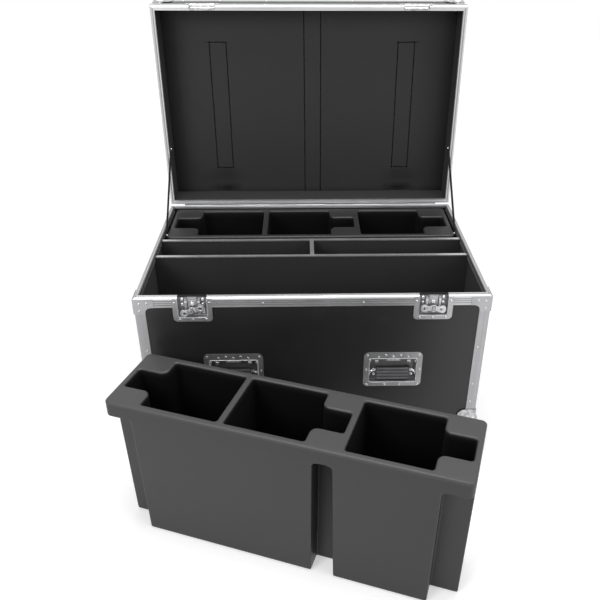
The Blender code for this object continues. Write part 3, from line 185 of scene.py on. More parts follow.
def round_off(radius, steps=3, held=True):
    bpy.ops.mesh.bevel(offset=radius, segments=steps, affect="EDGES", clamp_overlap=held)


def insets(*steps):
    """Inset the picked faces by each thickness and depth in turn."""
    for thickness, depth in steps:
        bpy.ops.mesh.inset(thickness=thickness, depth=depth)


def press(piece, axis, way, *steps):
    """Turn one side of a piece into steps of a thickness and a depth."""
    edit(piece)
    pick_side(piece, axis, way)
    insets(*steps)
    done()


def face_outwards(piece):
    edit(piece)
    bpy.ops.mesh.select_all(action="SELECT")
    bpy.ops.mesh.normals_make_consistent(inside=False)
    done()


def use_modifier(piece, kind, **settings):
    """Give a piece a modifier and apply it."""
    choose(piece)
    step = piece.modifiers.new(kind.title(), kind)
    for name, value in settings.items():
        setattr(step, name, value)
    bpy.ops.object.modifier_apply(modifier=step.name)


def soften(piece, width, steps=2, angle=30.0):
    """Round every edge that bends by more than an angle."""
    use_modifier(piece, "BEVEL", width=width, segments=steps, limit_method="ANGLE",
                 angle_limit=math.radians(angle))


def cut_out(piece, tool):
    """Take a tool's shape out of a piece, and the tool away."""
    use_modifier(piece, "BOOLEAN", operation="DIFFERENCE", object=tool, solver="EXACT")
    remove(tool)


def smooth(piece, angle=40.0):
    """Smooth shading that keeps broad faces flat."""
    choose(piece)
    bpy.ops.object.shade_smooth_by_angle(angle=math.radians(angle))
    use_modifier(piece, "WEIGHTED_NORMAL", keep_sharp=True)


def placed_copy(piece, name, matrix):
    """A copy with a mesh of its own, moved by a matrix."""
    twin = piece.copy()
    twin.data = piece.data.copy()
    twin.name = name
    twin.data.name = name
    bpy.context.collection.objects.link(twin)
    twin.matrix_world = matrix
    return settle(twin)


def joined(name, pieces):
    choose(*pieces)
    bpy.ops.object.join()
    return named(name)


def remove(piece):
    mesh = piece.data
    bpy.data.objects.remove(piece)
    bpy.data.meshes.remove(mesh)


def open_lid(piece):
    """Turn a piece that was modelled on the shut lid to where the open lid has it."""
    turn = Matrix.Translation((0, HINGE_Y, HINGE_Z)) @ Matrix.Rotation(-OPEN_ANGLE, 4, "X")
    piece.matrix_world = turn @ Matrix.Translation((0, -HINGE_Y, -HINGE_Z)) @ piece.matrix_world
    return settle(piece)


def ready(name):
    """A finish that was made earlier."""
    return bpy.data.materials[name]


def finish_piece(piece, look, body=None):
    piece.data.materials.clear()
    piece.data.materials.append(look)
    if body:
        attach(piece, body)
    return piece


# Finishes, written as sums on sockets


def wire_sum(operation, turned=False):
    """A method that adds a Math node; a turned one has the wire second."""
    def method(self, other=0.0):
        return self.sum(operation, *((other, self) if turned else (self, other)))
    return method


class Wire:
    """A socket that sums can be written with; each sum adds its Math node."""

    def __init__(self, look, socket):
        self.look = look
        self.socket = socket

    def sum(self, operation, first, second, clamp=False):
        settings = {"operation": operation, "use_clamp": clamp}
        return self.look.node("ShaderNodeMath", settings, {0: first, 1: second})

    def held(self):
        return self.sum("ADD", self, 0.0, True)

    __add__ = __radd__ = wire_sum("ADD")
    __mul__ = __rmul__ = wire_sum("MULTIPLY")
    __sub__ = wire_sum("SUBTRACT")
    __rsub__ = wire_sum("SUBTRACT", True)
    __truediv__ = wire_sum("DIVIDE")
    __gt__ = wire_sum("GREATER_THAN")
    __lt__ = wire_sum("LESS_THAN")
    size = wire_sum("ABSOLUTE")
    sine = wire_sum("SINE")
    power = wire_sum("POWER")
    least = wire_sum("MINIMUM")


class Look:
    """A material and the one method that adds any node to it."""

    def __init__(self, name, rough=0.5, metal=0.0):
        self.material = bpy.data.materials.new(name)
        self.material.use_nodes = True
        self.tree = self.material.node_tree
        self.shader = self.tree.nodes["Principled BSDF"]
        self.shader.inputs["Roughness"].default_value = rough
        self.shader.inputs["Metallic"].default_value = metal
        self.place = self.node("ShaderNodeTexCoord", output="Object")

    def node(self, kind, settings=None, values=None, output=0):
        made = self.tree.nodes.new(kind)
        for name, value in (settings or {}).items():
            setattr(made, name, value)
        for name, value in (values or {}).items():
            if isinstance(value, Wire):
                self.tree.links.new(value.socket, made.inputs[name])
            else:
                made.inputs[name].default_value = value
        return Wire(self, made.outputs[output])

    def axes(self, vector=None):
        split = self.node("ShaderNodeSeparateXYZ", None, {0: vector or self.place})
        outputs = split.socket.node.outputs
        return [Wire(self, outputs[i]) for i in range(3)]

    def moved(self, scale=(1, 1, 1), turn=(0, 0, 0), place=(0, 0, 0), vector=None):
        values = {"Vector": vector or self.place, "Scale": scale, "Rotation": turn,
                  "Location": place}
        return self.node("ShaderNodeMapping", {"vector_type": "POINT"}, values)

    def noise(self, scale, detail=3.0, rough=0.55, vector=None):
        values = {"Vector": vector or self.place, "Scale": scale, "Detail": detail,
                  "Roughness": rough}
        return self.node("ShaderNodeTexNoise", None, values)

    def cells(self, scale, feature="F1"):
        values = {"Vector": self.place, "Scale": scale}
        return self.node("ShaderNodeTexVoronoi", {"feature": feature}, values, "Distance")

    def spread(self, value, low, high, new_low=0.0, new_high=1.0):
        values = {"Value": value, 1: low, 2: high, 3: new_low, 4: new_high}
        return self.node("ShaderNodeMapRange", {"clamp": True}, values)

    def tint(self, share, first, second, kind="MIX"):
        """A colour between two, which are colours or wires."""
        full = [c if isinstance(c, Wire) else (*c, 1.0) for c in (first, second)]
        settings = {"data_type": "RGBA", "blend_type": kind}
        return self.node("ShaderNodeMix", settings, {0: share, 6: full[0], 7: full[1]}, 2)

    def shade(self, colour, amount):
        """A colour made lighter or darker by a wire round 1."""
        return self.tint(1.0, colour, self.grey(amount), "MULTIPLY")

    def grey(self, amount):
        return self.node("ShaderNodeCombineColor", None, {0: amount, 1: amount, 2: amount})

    def mark(self, name):
        """A number that the mesh holds for each vertex."""
        return self.node("ShaderNodeAttribute", {"attribute_name": name}, output="Fac")

    def bump(self, height, depth, strength):
        """Raise the surface by a height wire; depth is its full height in metres."""
        values = {"Height": height, "Distance": depth, "Strength": strength}
        return self.node("ShaderNodeBump", None, values)

    def shade_over(self, share, colour):
        """Lay a dull, dead finish of a given colour over the first by a share, as painted shade."""
        values = {"Base Color": (*colour, 1.0), "Roughness": 0.95, "Specular IOR Level": 0.12}
        dull = self.node("ShaderNodeBsdfPrincipled", None, values)
        first = Wire(self, self.shader.outputs[0])
        mixed = self.node("ShaderNodeMixShader", None, {0: share, 1: first, 2: dull})
        self.tree.links.new(mixed.socket, self.tree.nodes["Material Output"].inputs["Surface"])

    def give(self, **wires):
        names = {"colour": "Base Color", "rough": "Roughness", "normal": "Normal"}
        for name, wire in wires.items():
            self.tree.links.new(wire.socket, self.shader.inputs[names[name]])
        return self.material


def flat_share(look, vector=None):
    """One on faces that run along X, nought on those that run along Y, split at the mitres."""
    x, y, _ = look.axes(vector)
    return (x.size() - HALF_X) < (y.size() - HALF_Y)


def shut_place(look):
    """Object coordinates turned back to the shut lid."""
    from_hinge = look.moved(place=(0, -HINGE_Y, -HINGE_Z))
    return look.moved(turn=(OPEN_ANGLE, 0, 0), place=(0, HINGE_Y, HINGE_Z), vector=from_hinge)


def blended(first, second, share):
    """Two number wires mixed by a share."""
    return first + (second - first) * share


def inside_share(look, vector, low, high):
    """One on faces that look into the case between two heights, nought outside."""
    x, y, z = look.axes(vector)
    edge = 0.0004
    within_walls = (x.size() < INNER_X + edge) * (y.size() < INNER_Y + edge)
    return within_walls * (z > low) * (z < high)


def laminate_look(name, colour, lining, vector_of=None, low=0.006, high=1.0):
    """Pressed laminate with a fine pebble, smudges and small scuffs, and the dull lining inside."""
    look = Look(name, 0.4)
    vector = vector_of(look) if vector_of else look.place
    inner = inside_share(look, vector, low, high)
    pebble = look.noise(950.0, 2.0, 0.5)
    cloud = look.noise(3.2, 4.0, 0.6)
    rub = look.spread(look.noise(26.0, 6.0, 0.7), 0.60, 0.74)
    fibre = look.noise(1.0, 4.0, 0.6, look.moved(scale=(18, 18, 240)))
    outer = look.shade(colour, cloud * 0.5 + 0.74 + pebble * 0.1 + rub * 0.25)
    inside = look.shade(lining, fibre * 0.55 + 0.70 + cloud * 0.1)
    rough_out = 0.33 + cloud * 0.12 + rub * 0.22
    rough_in = 0.72 + fibre * 0.15
    height = blended(pebble * 0.6 + rub * 0.25, fibre + pebble, inner)
    return look.give(
        colour=look.tint(inner, outer, inside),
        rough=blended(rough_out, rough_in, inner),
        normal=look.bump(height, 0.00022, 0.9))


def rail_painted_shade(look, vector, seam, way, notches):
    """How dark a rail is painted: painted shade along its grooves, beside its tongue, on its inner
    leg and in the notches at the latches; without notches, blotchy dark patches at the latches
    instead.
    """
    x, y, z = look.axes(vector)
    inwards = (HALF_X - x.size()).least(HALF_Y - y.size())
    drop = (z - seam) * way
    face = (inwards < 0.0012) * (drop > 0.004)
    grooves = sum(((drop - place).size() < 0.0015) for place in (0.0106, 0.0171, 0.0236)) * face
    top = drop < 0.0035
    flank = 1.0 - flat_share(look, vector)
    beside = ((inwards - 0.0073).size() < 0.0021) * 0.40
    beside = beside + ((inwards - 0.0150).size() < 0.0017) * 0.68
    leg = (inwards > 0.0157) * (drop > 0.0008) * (y < 0.31)
    # Painted shade: the grooves, the bands beside the tongue, the inner leg and the latch notches
    # are darkened as if in shade.
    dark = grooves * 0.42 + beside * top * flank + leg * 0.75
    at_latch = ((x.size() - LATCH_X).size() < 0.0405) * (y < -0.30)
    if notches:
        dark = dark + at_latch * (inwards > 0.0100) * 0.93
    else:
        patch = look.noise(150.0, 2.0, vector=vector)
        dark = dark + at_latch * look.spread(patch, 0.42, 0.64, 0.0, 0.55)
    return dark.held()


def anodised_look(name, colour, vector_of=None, posts=None, seam=None, way=-1, notches=False):
    """Drawn aluminium: fine lines along each length, dull patches, nicks, and painted shade in its
    grooves and hollows.
    """
    look = Look(name, 0.3, 0.88)
    vector = vector_of(look) if vector_of else look.place
    fine, slow = 240.0, 3.0

    def drawn(*scale):
        return look.noise(1.0, 3.0, 0.6, look.moved(scale, vector=vector))

    along_x, along_y = drawn(slow, fine, fine), drawn(fine, slow, fine)
    streak = blended(along_y, along_x, flat_share(look, vector))
    if posts:
        z = look.axes(vector)[2]
        streak = blended(streak, drawn(fine, fine, slow), (z > posts[0]) * (z < posts[1]))
    cloud = look.noise(14.0, 5.0, 0.65)
    nick = look.spread(look.cells(95.0, "SMOOTH_F1"), 0.05, 0.11, 1.0, 0.0)
    nick = nick * look.spread(look.noise(31.0, 2.0), 0.56, 0.62)
    tone = streak * 0.56 + cloud * 0.20 + 0.62 - nick * 0.30
    rough = 0.25 + streak * 0.14 + cloud * 0.12 + nick * 0.2
    if seam is not None:
        # Painted shade of the rail's grooves, tongue, inner leg and latch notches darkens its tone.
        dark = rail_painted_shade(look, vector, seam, way, notches)
        tone = tone * (1.0 - dark)
        rough = rough + dark * 0.25
    return look.give(
        colour=look.shade(colour, tone),
        rough=rough,
        normal=look.bump(streak * 0.5 - nick * 1.4 + cloud * 0.3, 0.00012, 0.8))


def plated_look(name, colour, rough, metal, lump=0.0012, recess_shade=None):
    """Bright zinc plate: cloudy, with faint swirls, dull spots and a slightly uneven surface.

    A recess shade gives the two depths along Y between which a pressing is painted darker and
    duller, as shade in its recess; just in front of the first depth its raised line gets a painted
    highlight.
    """
    look = Look(name, rough, metal)
    cloud = look.noise(34.0, 4.0, 0.6)
    swirl = look.noise(1.0, 3.0, 0.7, look.moved((900, 60, 420), (0.3, 0.5, 0.2)))
    dirt = look.spread(look.noise(150.0, 4.0, 0.7), 0.60, 0.74)
    tone = cloud * 0.30 + 0.80 + swirl * 0.10 - dirt * 0.18
    rough = rough - 0.05 + cloud * 0.10 + dirt * 0.22 + swirl * 0.05
    if recess_shade:
        # Painted shade deeper in the recess, and a painted highlight on the raised line.
        depth = look.axes()[1]
        dull = look.spread(depth, recess_shade[0], recess_shade[1], 0.0, 0.52)
        bead_highlight = look.spread(depth, recess_shade[0] - 0.0020, recess_shade[0] - 0.0014, 1.7, 1.0)
        tone = tone * (1.0 - dull) * bead_highlight
        rough = rough + dull * 0.3
    if lump > 0.002:
        pit = look.cells(105.0, "SMOOTH_F1")
        tone = tone * look.spread(pit, 0.10, 0.55, 1.12, 0.70)
        cloud = cloud + pit * 0.8
    return look.give(
        colour=look.shade(colour, tone),
        rough=rough,
        normal=look.bump(cloud + swirl * 0.06, lump, 0.35))


def ribbed_look(name, colour):
    """A ribbed strip: rib tops at full tone and the gaps between them painted dark, as shade."""
    look = Look(name, 0.5, 0.5)
    x = look.axes()[0]
    # Painted shade: the gaps between the ribs are darkened to a tenth of the tops.
    top = look.spread(INNER_X - x.size(), 0.0024, 0.0035, 0.10, 1.0)
    grain = look.noise(420.0, 3.0, 0.6)
    return look.give(
        colour=look.shade(colour, top * (grain * 0.5 + 0.75)),
        rough=0.42 + grain * 0.25,
        normal=look.bump(grain, 0.0002, 0.6))


def lid_painted_shade(look):
    """How much painted shade the lid's foam gets: along its sides and ends, where its strips press
    it at the foot, and in its slits.
    """
    x, y, _ = look.axes(shut_place(look))
    # Painted shade along the side walls and ends, in the dents at the strips' feet and in the
    # slits.
    side = look.spread(INNER_X - x.size(), 0.0, 0.050, 0.50, 0.0)
    ends = look.spread(INNER_Y - y.size(), 0.0, 0.020, 0.35, 0.0)
    waver = look.noise(38.0, 3.0) * 0.9
    across = ((x - STRIP_X).size() - INSERT_SPREAD) / 0.062
    along = (y - (INNER_Y - 0.014)) / 0.019
    press = look.spread((across * across + along * along).power(0.5) + waver, 0.5, 1.6, 0.80, 0.0)
    return (side + ends + press + slit_painted_shade(look, x, y) * 0.8).held()


def slit_painted_shade(look, x, y):
    """One along the foam's slits, with wandering edges, where painted shade lies in the slits."""
    waver = (look.noise(60.0, 3.0) - 0.5) * 0.0050
    half, width = 0.028, 0.0019
    out = (x - STRIP_X).size() + waver
    side = (out - INSERT_SPREAD).size()
    beside = (y > INSERT_FRONT - 0.002) * (y < INSERT_REAR + 0.002)
    # Painted shade in the slits, broken here and there.
    lines = ((out - half).size() < width) + ((side - half).size() < width) * beside
    rows = sum(((y + waver - place).size() < width) for place in (INSERT_FRONT, INSERT_REAR))
    broken = look.spread(look.noise(120.0, 2.0), 0.38, 0.52, 0.30, 1.0)
    return (lines + rows * (side < half + 0.004)) * broken


def tray_painted_light(look):
    """How light a tray's skin is painted: darker towards the bottom of its sides, with painted
    shade towards its right end and in the rear bay, and a painted lit top on the deck.
    """
    up = look.mark("tray_height")
    x, y, _ = look.axes()
    sides = look.spread(up, 0.05, 0.90, 0.66, 0.76)
    # Painted shade towards the right end, on the sides below the deck.
    far = look.spread(x, 0.05, 0.45, 0.0, 0.30) * (1.0 - look.spread(up, 0.6, 0.95))
    # Painted light: the deck's top is made half as bright again as the sides.
    skin = blended(sides * (1.0 - far), 1.55, look.spread(up, 0.975, 0.990))
    # Painted shade in the rear bay: where y is above nought the tone is under half.
    return blended(skin, skin * 0.45, y > 0.0)


def foam_look(name, colour, grain=620.0, depth=0.00035, hollow=None, rough=0.60, gloss=0.5,
              shade_share=None):
    """Closed-cell foam: small cells in a skin, broad clouds, rubbed patches, and painted shade:
    dark hollows and any shade share given, with a tray's painted light.
    """
    look = Look(name, rough)
    look.shader.inputs["Specular IOR Level"].default_value = gloss
    cell = look.cells(grain)
    fine = look.noise(grain * 1.7, 2.0, 0.5)
    cloud = look.noise(5.5, 4.0, 0.6)
    rub = look.spread(look.noise(21.0, 5.0, 0.7), 0.58, 0.78)
    tone = cloud * 0.22 + 0.84 + cell * 0.08 + fine * 0.06 + rub * 0.10
    sheen = rough - 0.05 + cloud * 0.10 - rub * 0.06
    if shade_share:
        # Painted shade laid over the foam as a near-black dull finish.
        look.shade_over(shade_share(look), (0.0050, 0.0050, 0.0050))
    if hollow:
        # Painted shade deeper in the pockets, and the tray's painted light.
        deep = look.mark(hollow)
        tone = tone * (1.0 - deep * 0.80) * tray_painted_light(look)
        look.shade_over(deep * 0.92, (0.0022, 0.0022, 0.0024))
    return look.give(
        colour=look.shade(colour, tone),
        rough=sheen,
        normal=look.bump(cell * 0.5 + fine * 0.4 + cloud * 1.2, depth, 0.7))


def webbing_look(name, colour, turn):
    """Flat woven webbing: diagonal ribs across a fine thread, paler where the weave is raised."""
    look = Look(name, 0.8)
    _, across, along = look.axes(look.moved(turn=(turn, 0, 0)))
    chevron = (along * 1900.0 + (across * 900.0).size()).sine()
    thread = (across * 5200.0).sine()
    fuzz = look.noise(1300.0, 2.0)
    height = chevron * 0.4 + thread * 0.25 + fuzz * 0.4 + 0.5
    return look.give(
        colour=look.shade(colour, 0.62 + height * 0.45),
        rough=0.74 + fuzz * 0.16,
        normal=look.bump(height, 0.00045, 0.9))


def rubber_look(name, colour, rough=0.55, ridge_wear_and_sheen=None):
    """Moulded rubber: fine grain, dusty patches and scuffs; with ridges, the gaps darker as painted
    shade and the ridge tops beyond a distance along Y far paler, partly wear and partly a painted
    highlight.
    """
    look = Look(name, rough)
    grain = look.noise(820.0, 3.0, 0.6)
    dust = look.spread(look.noise(24.0, 5.0, 0.7), 0.48, 0.72)
    tone = 0.82 + grain * 0.2 + dust * 0.35
    if ridge_wear_and_sheen:
        # Ridge tops up to five times paler, partly rubbed and partly a painted highlight; the gaps
        # between them darker as painted shade.
        y = look.axes()[1]
        tone = tone * look.spread((y - ridge_wear_and_sheen[0]).size(), ridge_wear_and_sheen[1], ridge_wear_and_sheen[2], 0.55, 5.0)
    return look.give(
        colour=look.shade(colour, tone),
        rough=rough - 0.08 + grain * 0.12 + dust * 0.2,
        normal=look.bump(grain, 0.0002, 0.8))


# What a user may change


def length(name, description, default):
    return FloatProperty(
        name=name, description=description, default=default, min=0.0, soft_max=2.0,
        precision=4, unit="LENGTH")


def colour(name, description, default):
    return FloatVectorProperty(
        name=name, description=description, default=default, size=3, min=0.0, max=1.0,
        subtype="COLOR")


class CaseColours(bpy.types.PropertyGroup):
    laminate: colour("Laminate", "Outer face of the plywood panels", (0.0125, 0.0125, 0.0135))
    lining: colour("Lining", "Dull face of the panels inside", (0.020, 0.020, 0.020))
    lid_foam: colour("Lid foam", "Soft lining of the lid", (0.020, 0.020, 0.020))
    tray_foam: colour("Tray foam", "Moulded foam of both trays", (0.029, 0.029, 0.030))
    rail: colour("Rail", "Rim rails and divider caps", (0.56, 0.56, 0.57))
    angle: colour("Angle", "Angle strips of the body and the lid", (0.38, 0.38, 0.39))
    strip: colour("Ribbed strip", "Ribbed strips on the side walls", (0.34, 0.34, 0.345))
    zinc: colour("Zinc", "Pressed dishes and castors", (0.46, 0.46, 0.47))
    wing: colour("Wing", "Wings and draw plates of the latches", (0.66, 0.66, 0.67))
    corner: colour("Corner", "Plates and shells of the corners", (0.56, 0.56, 0.57))
    brace: colour("Brace", "Corner plates of the front rail", (0.44, 0.44, 0.45))
    wire: colour("Wire steel", "Bails, springs and rivets", (0.66, 0.66, 0.67))
    webbing: colour("Webbing", "Stay straps of the lid", (0.012, 0.012, 0.012))
    grip: colour("Grip rubber", "Sleeves of the handles", (0.030, 0.030, 0.032))
    wheel: colour("Wheel", "Tyres of the castors", (0.030, 0.032, 0.036))
    core: colour("Wheel core", "Moulded cores of the castors' wheels", (0.115, 0.118, 0.122))


class TraySizes(bpy.types.PropertyGroup):
    long: length("Length", "Length of a tray", 0.945)
    wide: length("Width", "Width of a tray", 0.230)
    high: length("Height", "Height of a tray", 0.4422)
    skirt: length("Skirt", "Depth of the deck's skirt", 0.046)
    floor: length("Floor", "Thickness under the pockets", 0.016)
    pocket_corner: length("Pocket corner", "Radius of a pocket's upright corners", 0.008)
    tongue_corner: length("Tongue corner", "Radius where a pocket narrows to its neck", 0.020)
    deck_corner: length("Deck corner", "Radius of the deck's corners", 0.015)
    foot_corner: length("Foot corner", "Radius of the wells' corners and feet", 0.0105)
    lip: length("Lip", "Rounding where the deck meets a pocket", 0.005)
    arris: length("Arris", "Rounding of the wells' upright edges", 0.0032)


class LiningSizes(bpy.types.PropertyGroup):
    foam: length("Foam", "Thickness of the lid's foam", 0.015)
    slit: length("Slit width", "Width of a slit in the foam", 0.0022)
    slit_depth: length("Slit depth", "Depth of a slit in the foam", 0.005)
    strip: length("Strip", "Width of a loose strip", 0.056)
    dent: length("Dent", "How deep the foam is pressed in below the short strips", 0.0070)


class HardwareSizes(bpy.types.PropertyGroup):
    rivet: length("Rivet", "Radius of a rivet's head on the rails", 0.0031)
    rivet_high: length("Rivet height", "How far a rivet's head stands up", 0.0014)
    dish_sheet: length("Dish sheet", "Thickness of the pressed dishes", 0.0012)
    bead: length("Raised line", "Width of the raised line round a recess", 0.0017)
    wire: length("Bail wire", "Radius of a handle's bent wire", 0.0036)


def settings():
    return bpy.context.scene.case_colours


# Trays

POCKET_HALF, NECK_HALF, WELL_HALF = 0.0965, 0.040, 0.064
POCKET_EDGE = 0.3
POCKET_WIDE = ((0.0965, 0.3085), (0.326, 0.538), (0.6365, 0.8485))
POCKET_NECK = ((0.0155, 0.0965), (0.538, 0.619), (0.8485, 0.9295))
WELL_WIDE = ((0.0725, 0.562), (0.6125, 0.8725))
REAR_TRAY_Y = 0.1885
FRONT_TRAY_PLACE = (-0.058, -0.632, FLOOR_Z)
FRONT_TRAY_TURN = math.radians(-19.3)
TRAY_REST_Z = PANEL + SHEET + GAP * 5
TONGUE_CORNERS = (0.0965, 0.538, 0.8485)
DECK_CELLS = (sorted({x for span in POCKET_WIDE + POCKET_NECK for x in span}),
              (-POCKET_HALF, -NECK_HALF, NECK_HALF, POCKET_HALF))
WELL_CELLS = ([x for span in WELL_WIDE for x in span], (-WELL_HALF, WELL_HALF))
POCKET_SHADES = (0.0052, 0.012, 0.025, 0.050, 0.095)


def within(value, spans):
    return any(low < value < high for low, high in spans)


def upright(a, b, tallest, least):
    """Whether an edge stands nearly upright and is between two lengths."""
    run = b - a
    return least < abs(run.z) < tallest and math.hypot(run.x, run.y) < 0.02


def model_tray(sizes):
    """Cut the pockets into a deck and draw the wells out below it."""
    half_long, half_wide, high = sizes.long / 2, sizes.wide / 2, sizes.high
    under = high - sizes.skirt
    tray = cube("tray_pattern", (-half_long, -half_wide, under), (half_long, half_wide, high))
    edit(tray)
    for cells, way in ((DECK_CELLS, 1), (WELL_CELLS, -1)):
        for axis, places in enumerate(cells):
            for place in places:
                pick_side(tray, 2, way)
                slice_at(axis, place - half_long * (axis == 0), False)

    def in_pocket(centre, normal):
        x, y = centre.x + half_long, abs(centre.y)
        wide = within(x, POCKET_WIDE) and y < POCKET_HALF
        neck = within(x, POCKET_NECK) and y < NECK_HALF
        return normal.z > 0.9 and (wide or neck)

    def in_well(centre, normal):
        x, y = centre.x + half_long, abs(centre.y)
        return normal.z < -0.9 and (within(x, WELL_WIDE) or y < WELL_HALF)

    pick_faces(tray, in_pocket)
    insets((0.0025, sizes.floor - high))
    pick_faces(tray, in_well)
    insets((0.0050, under))
    pick_faces(tray, lambda centre, normal: normal.z < 0.9)
    bpy.ops.mesh.dissolve_limited(angle_limit=math.radians(0.5))

    def tongue_edge(a, b):
        x, y = a.x + half_long, abs(a.y)
        beside = any(abs(x - place) < 0.006 for place in TONGUE_CORNERS)
        return beside and abs(y - NECK_HALF) < 0.006 and pocket_edge(a, b)

    def pocket_edge(a, b):
        return upright(a, b, high, POCKET_EDGE) and min(a.z, b.z) > sizes.floor / 2

    def floor_edge(a, b):
        return abs(a.z - sizes.floor) < 0.001 and abs(b.z - sizes.floor) < 0.001

    def ceiling_edge(a, b):
        level = abs(a.z - under) < 0.001 and abs(b.z - under) < 0.001
        across_tray = abs(a.x - b.x) < 0.002 and abs(a.y - b.y) > 0.012
        return level and across_tray and abs(a.x) < half_long - 0.02

    pick_edges(tray, ceiling_edge)
    round_off(sizes.foot_corner * 1.25, 4)
    pick_edges(tray, tongue_edge)
    round_off(sizes.tongue_corner, 7, False)
    pick_edges(tray, pocket_edge)
    round_off(sizes.pocket_corner, 4, False)
    pick_edges(tray, floor_edge)
    round_off(sizes.pocket_corner / 2, 2, False)
    pick_edges(tray, lambda a, b: upright(a, b, sizes.skirt + 0.001, sizes.skirt - 0.001))
    round_off(sizes.deck_corner, 5)
    pick_edges(tray, lambda a, b: max(a.z, b.z) < 0.001)
    round_off(sizes.foot_corner, 4)
    pick_edges(tray, lambda a, b: max(a.z, b.z) < under + 0.001, 50.0)
    round_off(sizes.arris, 3)
    pick_edges(tray, lambda a, b: min(a.z, b.z) > high - 0.0005, 50.0)
    round_off(sizes.lip, 4, False)
    for drop in POCKET_SHADES:
        slice_at(2, high - drop)
    done()
    smooth(tray, 35.0)
    mark_hollows(tray, sizes)
    return tray


def mark_hollows(tray, sizes):
    """Note on each vertex how far down a pocket it lies, as its share of painted shade, a fixed
    painted shade under the deck between the wells, and its height for the tray's painted light.
    """
    tray.data.attributes.new("hollow", "FLOAT", "POINT")
    tray.data.attributes.new("tray_height", "FLOAT", "POINT")
    depth, height = tray.data.attributes["hollow"], tray.data.attributes["tray_height"]
    reach, turn = 0.004, sizes.tongue_corner + 0.0015
    for vert, mark, up in zip(tray.data.vertices, depth.data, height.data):
        x, y, drop = vert.co.x + sizes.long / 2, abs(vert.co.y), sizes.high - vert.co.z
        up.value = vert.co.z / sizes.high
        wide = any(a - reach < x < b + reach for a, b in POCKET_WIDE) and y < POCKET_HALF + reach
        neck = any(a - reach < x < b + reach for a, b in POCKET_NECK) and y < NECK_HALF + reach
        corner = any(abs(x - place) < turn for place in TONGUE_CORNERS) and y < NECK_HALF + turn
        if (wide or neck or corner) and vert.co.z > sizes.floor - 0.001:
            mark.value = min(1.0, max(0.0, drop - sizes.lip / 2) / 0.022) ** 0.6
        # Painted shade under the deck between the two wells.
        elif WELL_WIDE[0][1] < x < WELL_WIDE[1][0] and y < 0.068 and drop > sizes.skirt:
            mark.value = 0.62


class CASE_OT_trays(bpy.types.Operator):
    """Model one moulded tray and stand a copy in the rear bay and one on the floor"""
    bl_idname = "case.trays"
    bl_label = "Trays"

    def execute(self, context):
        # Tray foam with painted shade in its pockets and painted light on its skin.
        look = foam_look("tray_foam", settings().tray_foam, 900.0, 0.00018, "hollow", 0.43, 0.44)
        tray = model_tray(context.scene.tray_sizes)
        front = Matrix.Translation(FRONT_TRAY_PLACE) @ Matrix.Rotation(FRONT_TRAY_TURN, 4, "Z")
        places = {
            "rear_tray": Matrix.Translation((0, REAR_TRAY_Y, TRAY_REST_Z)),
            "front_tray": front,
        }
        for body, place in places.items():
            piece = placed_copy(tray, body + "_foam", place)
            finish_piece(piece, look, body)
            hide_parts(body)
        remove(tray)
        return {"FINISHED"}


# Lid lining

LINING_TOP = LID_TOP - SHEET - GAP - PANEL - GAP
INSERT_FRONT = HALF_Y - 0.103 - 0.431
INSERT_REAR = HALF_Y - 0.103
STRIP_X = 0.009
INSERT_SPREAD = 0.316
NOTCH = 0.014
LINING_GRID = 0.024


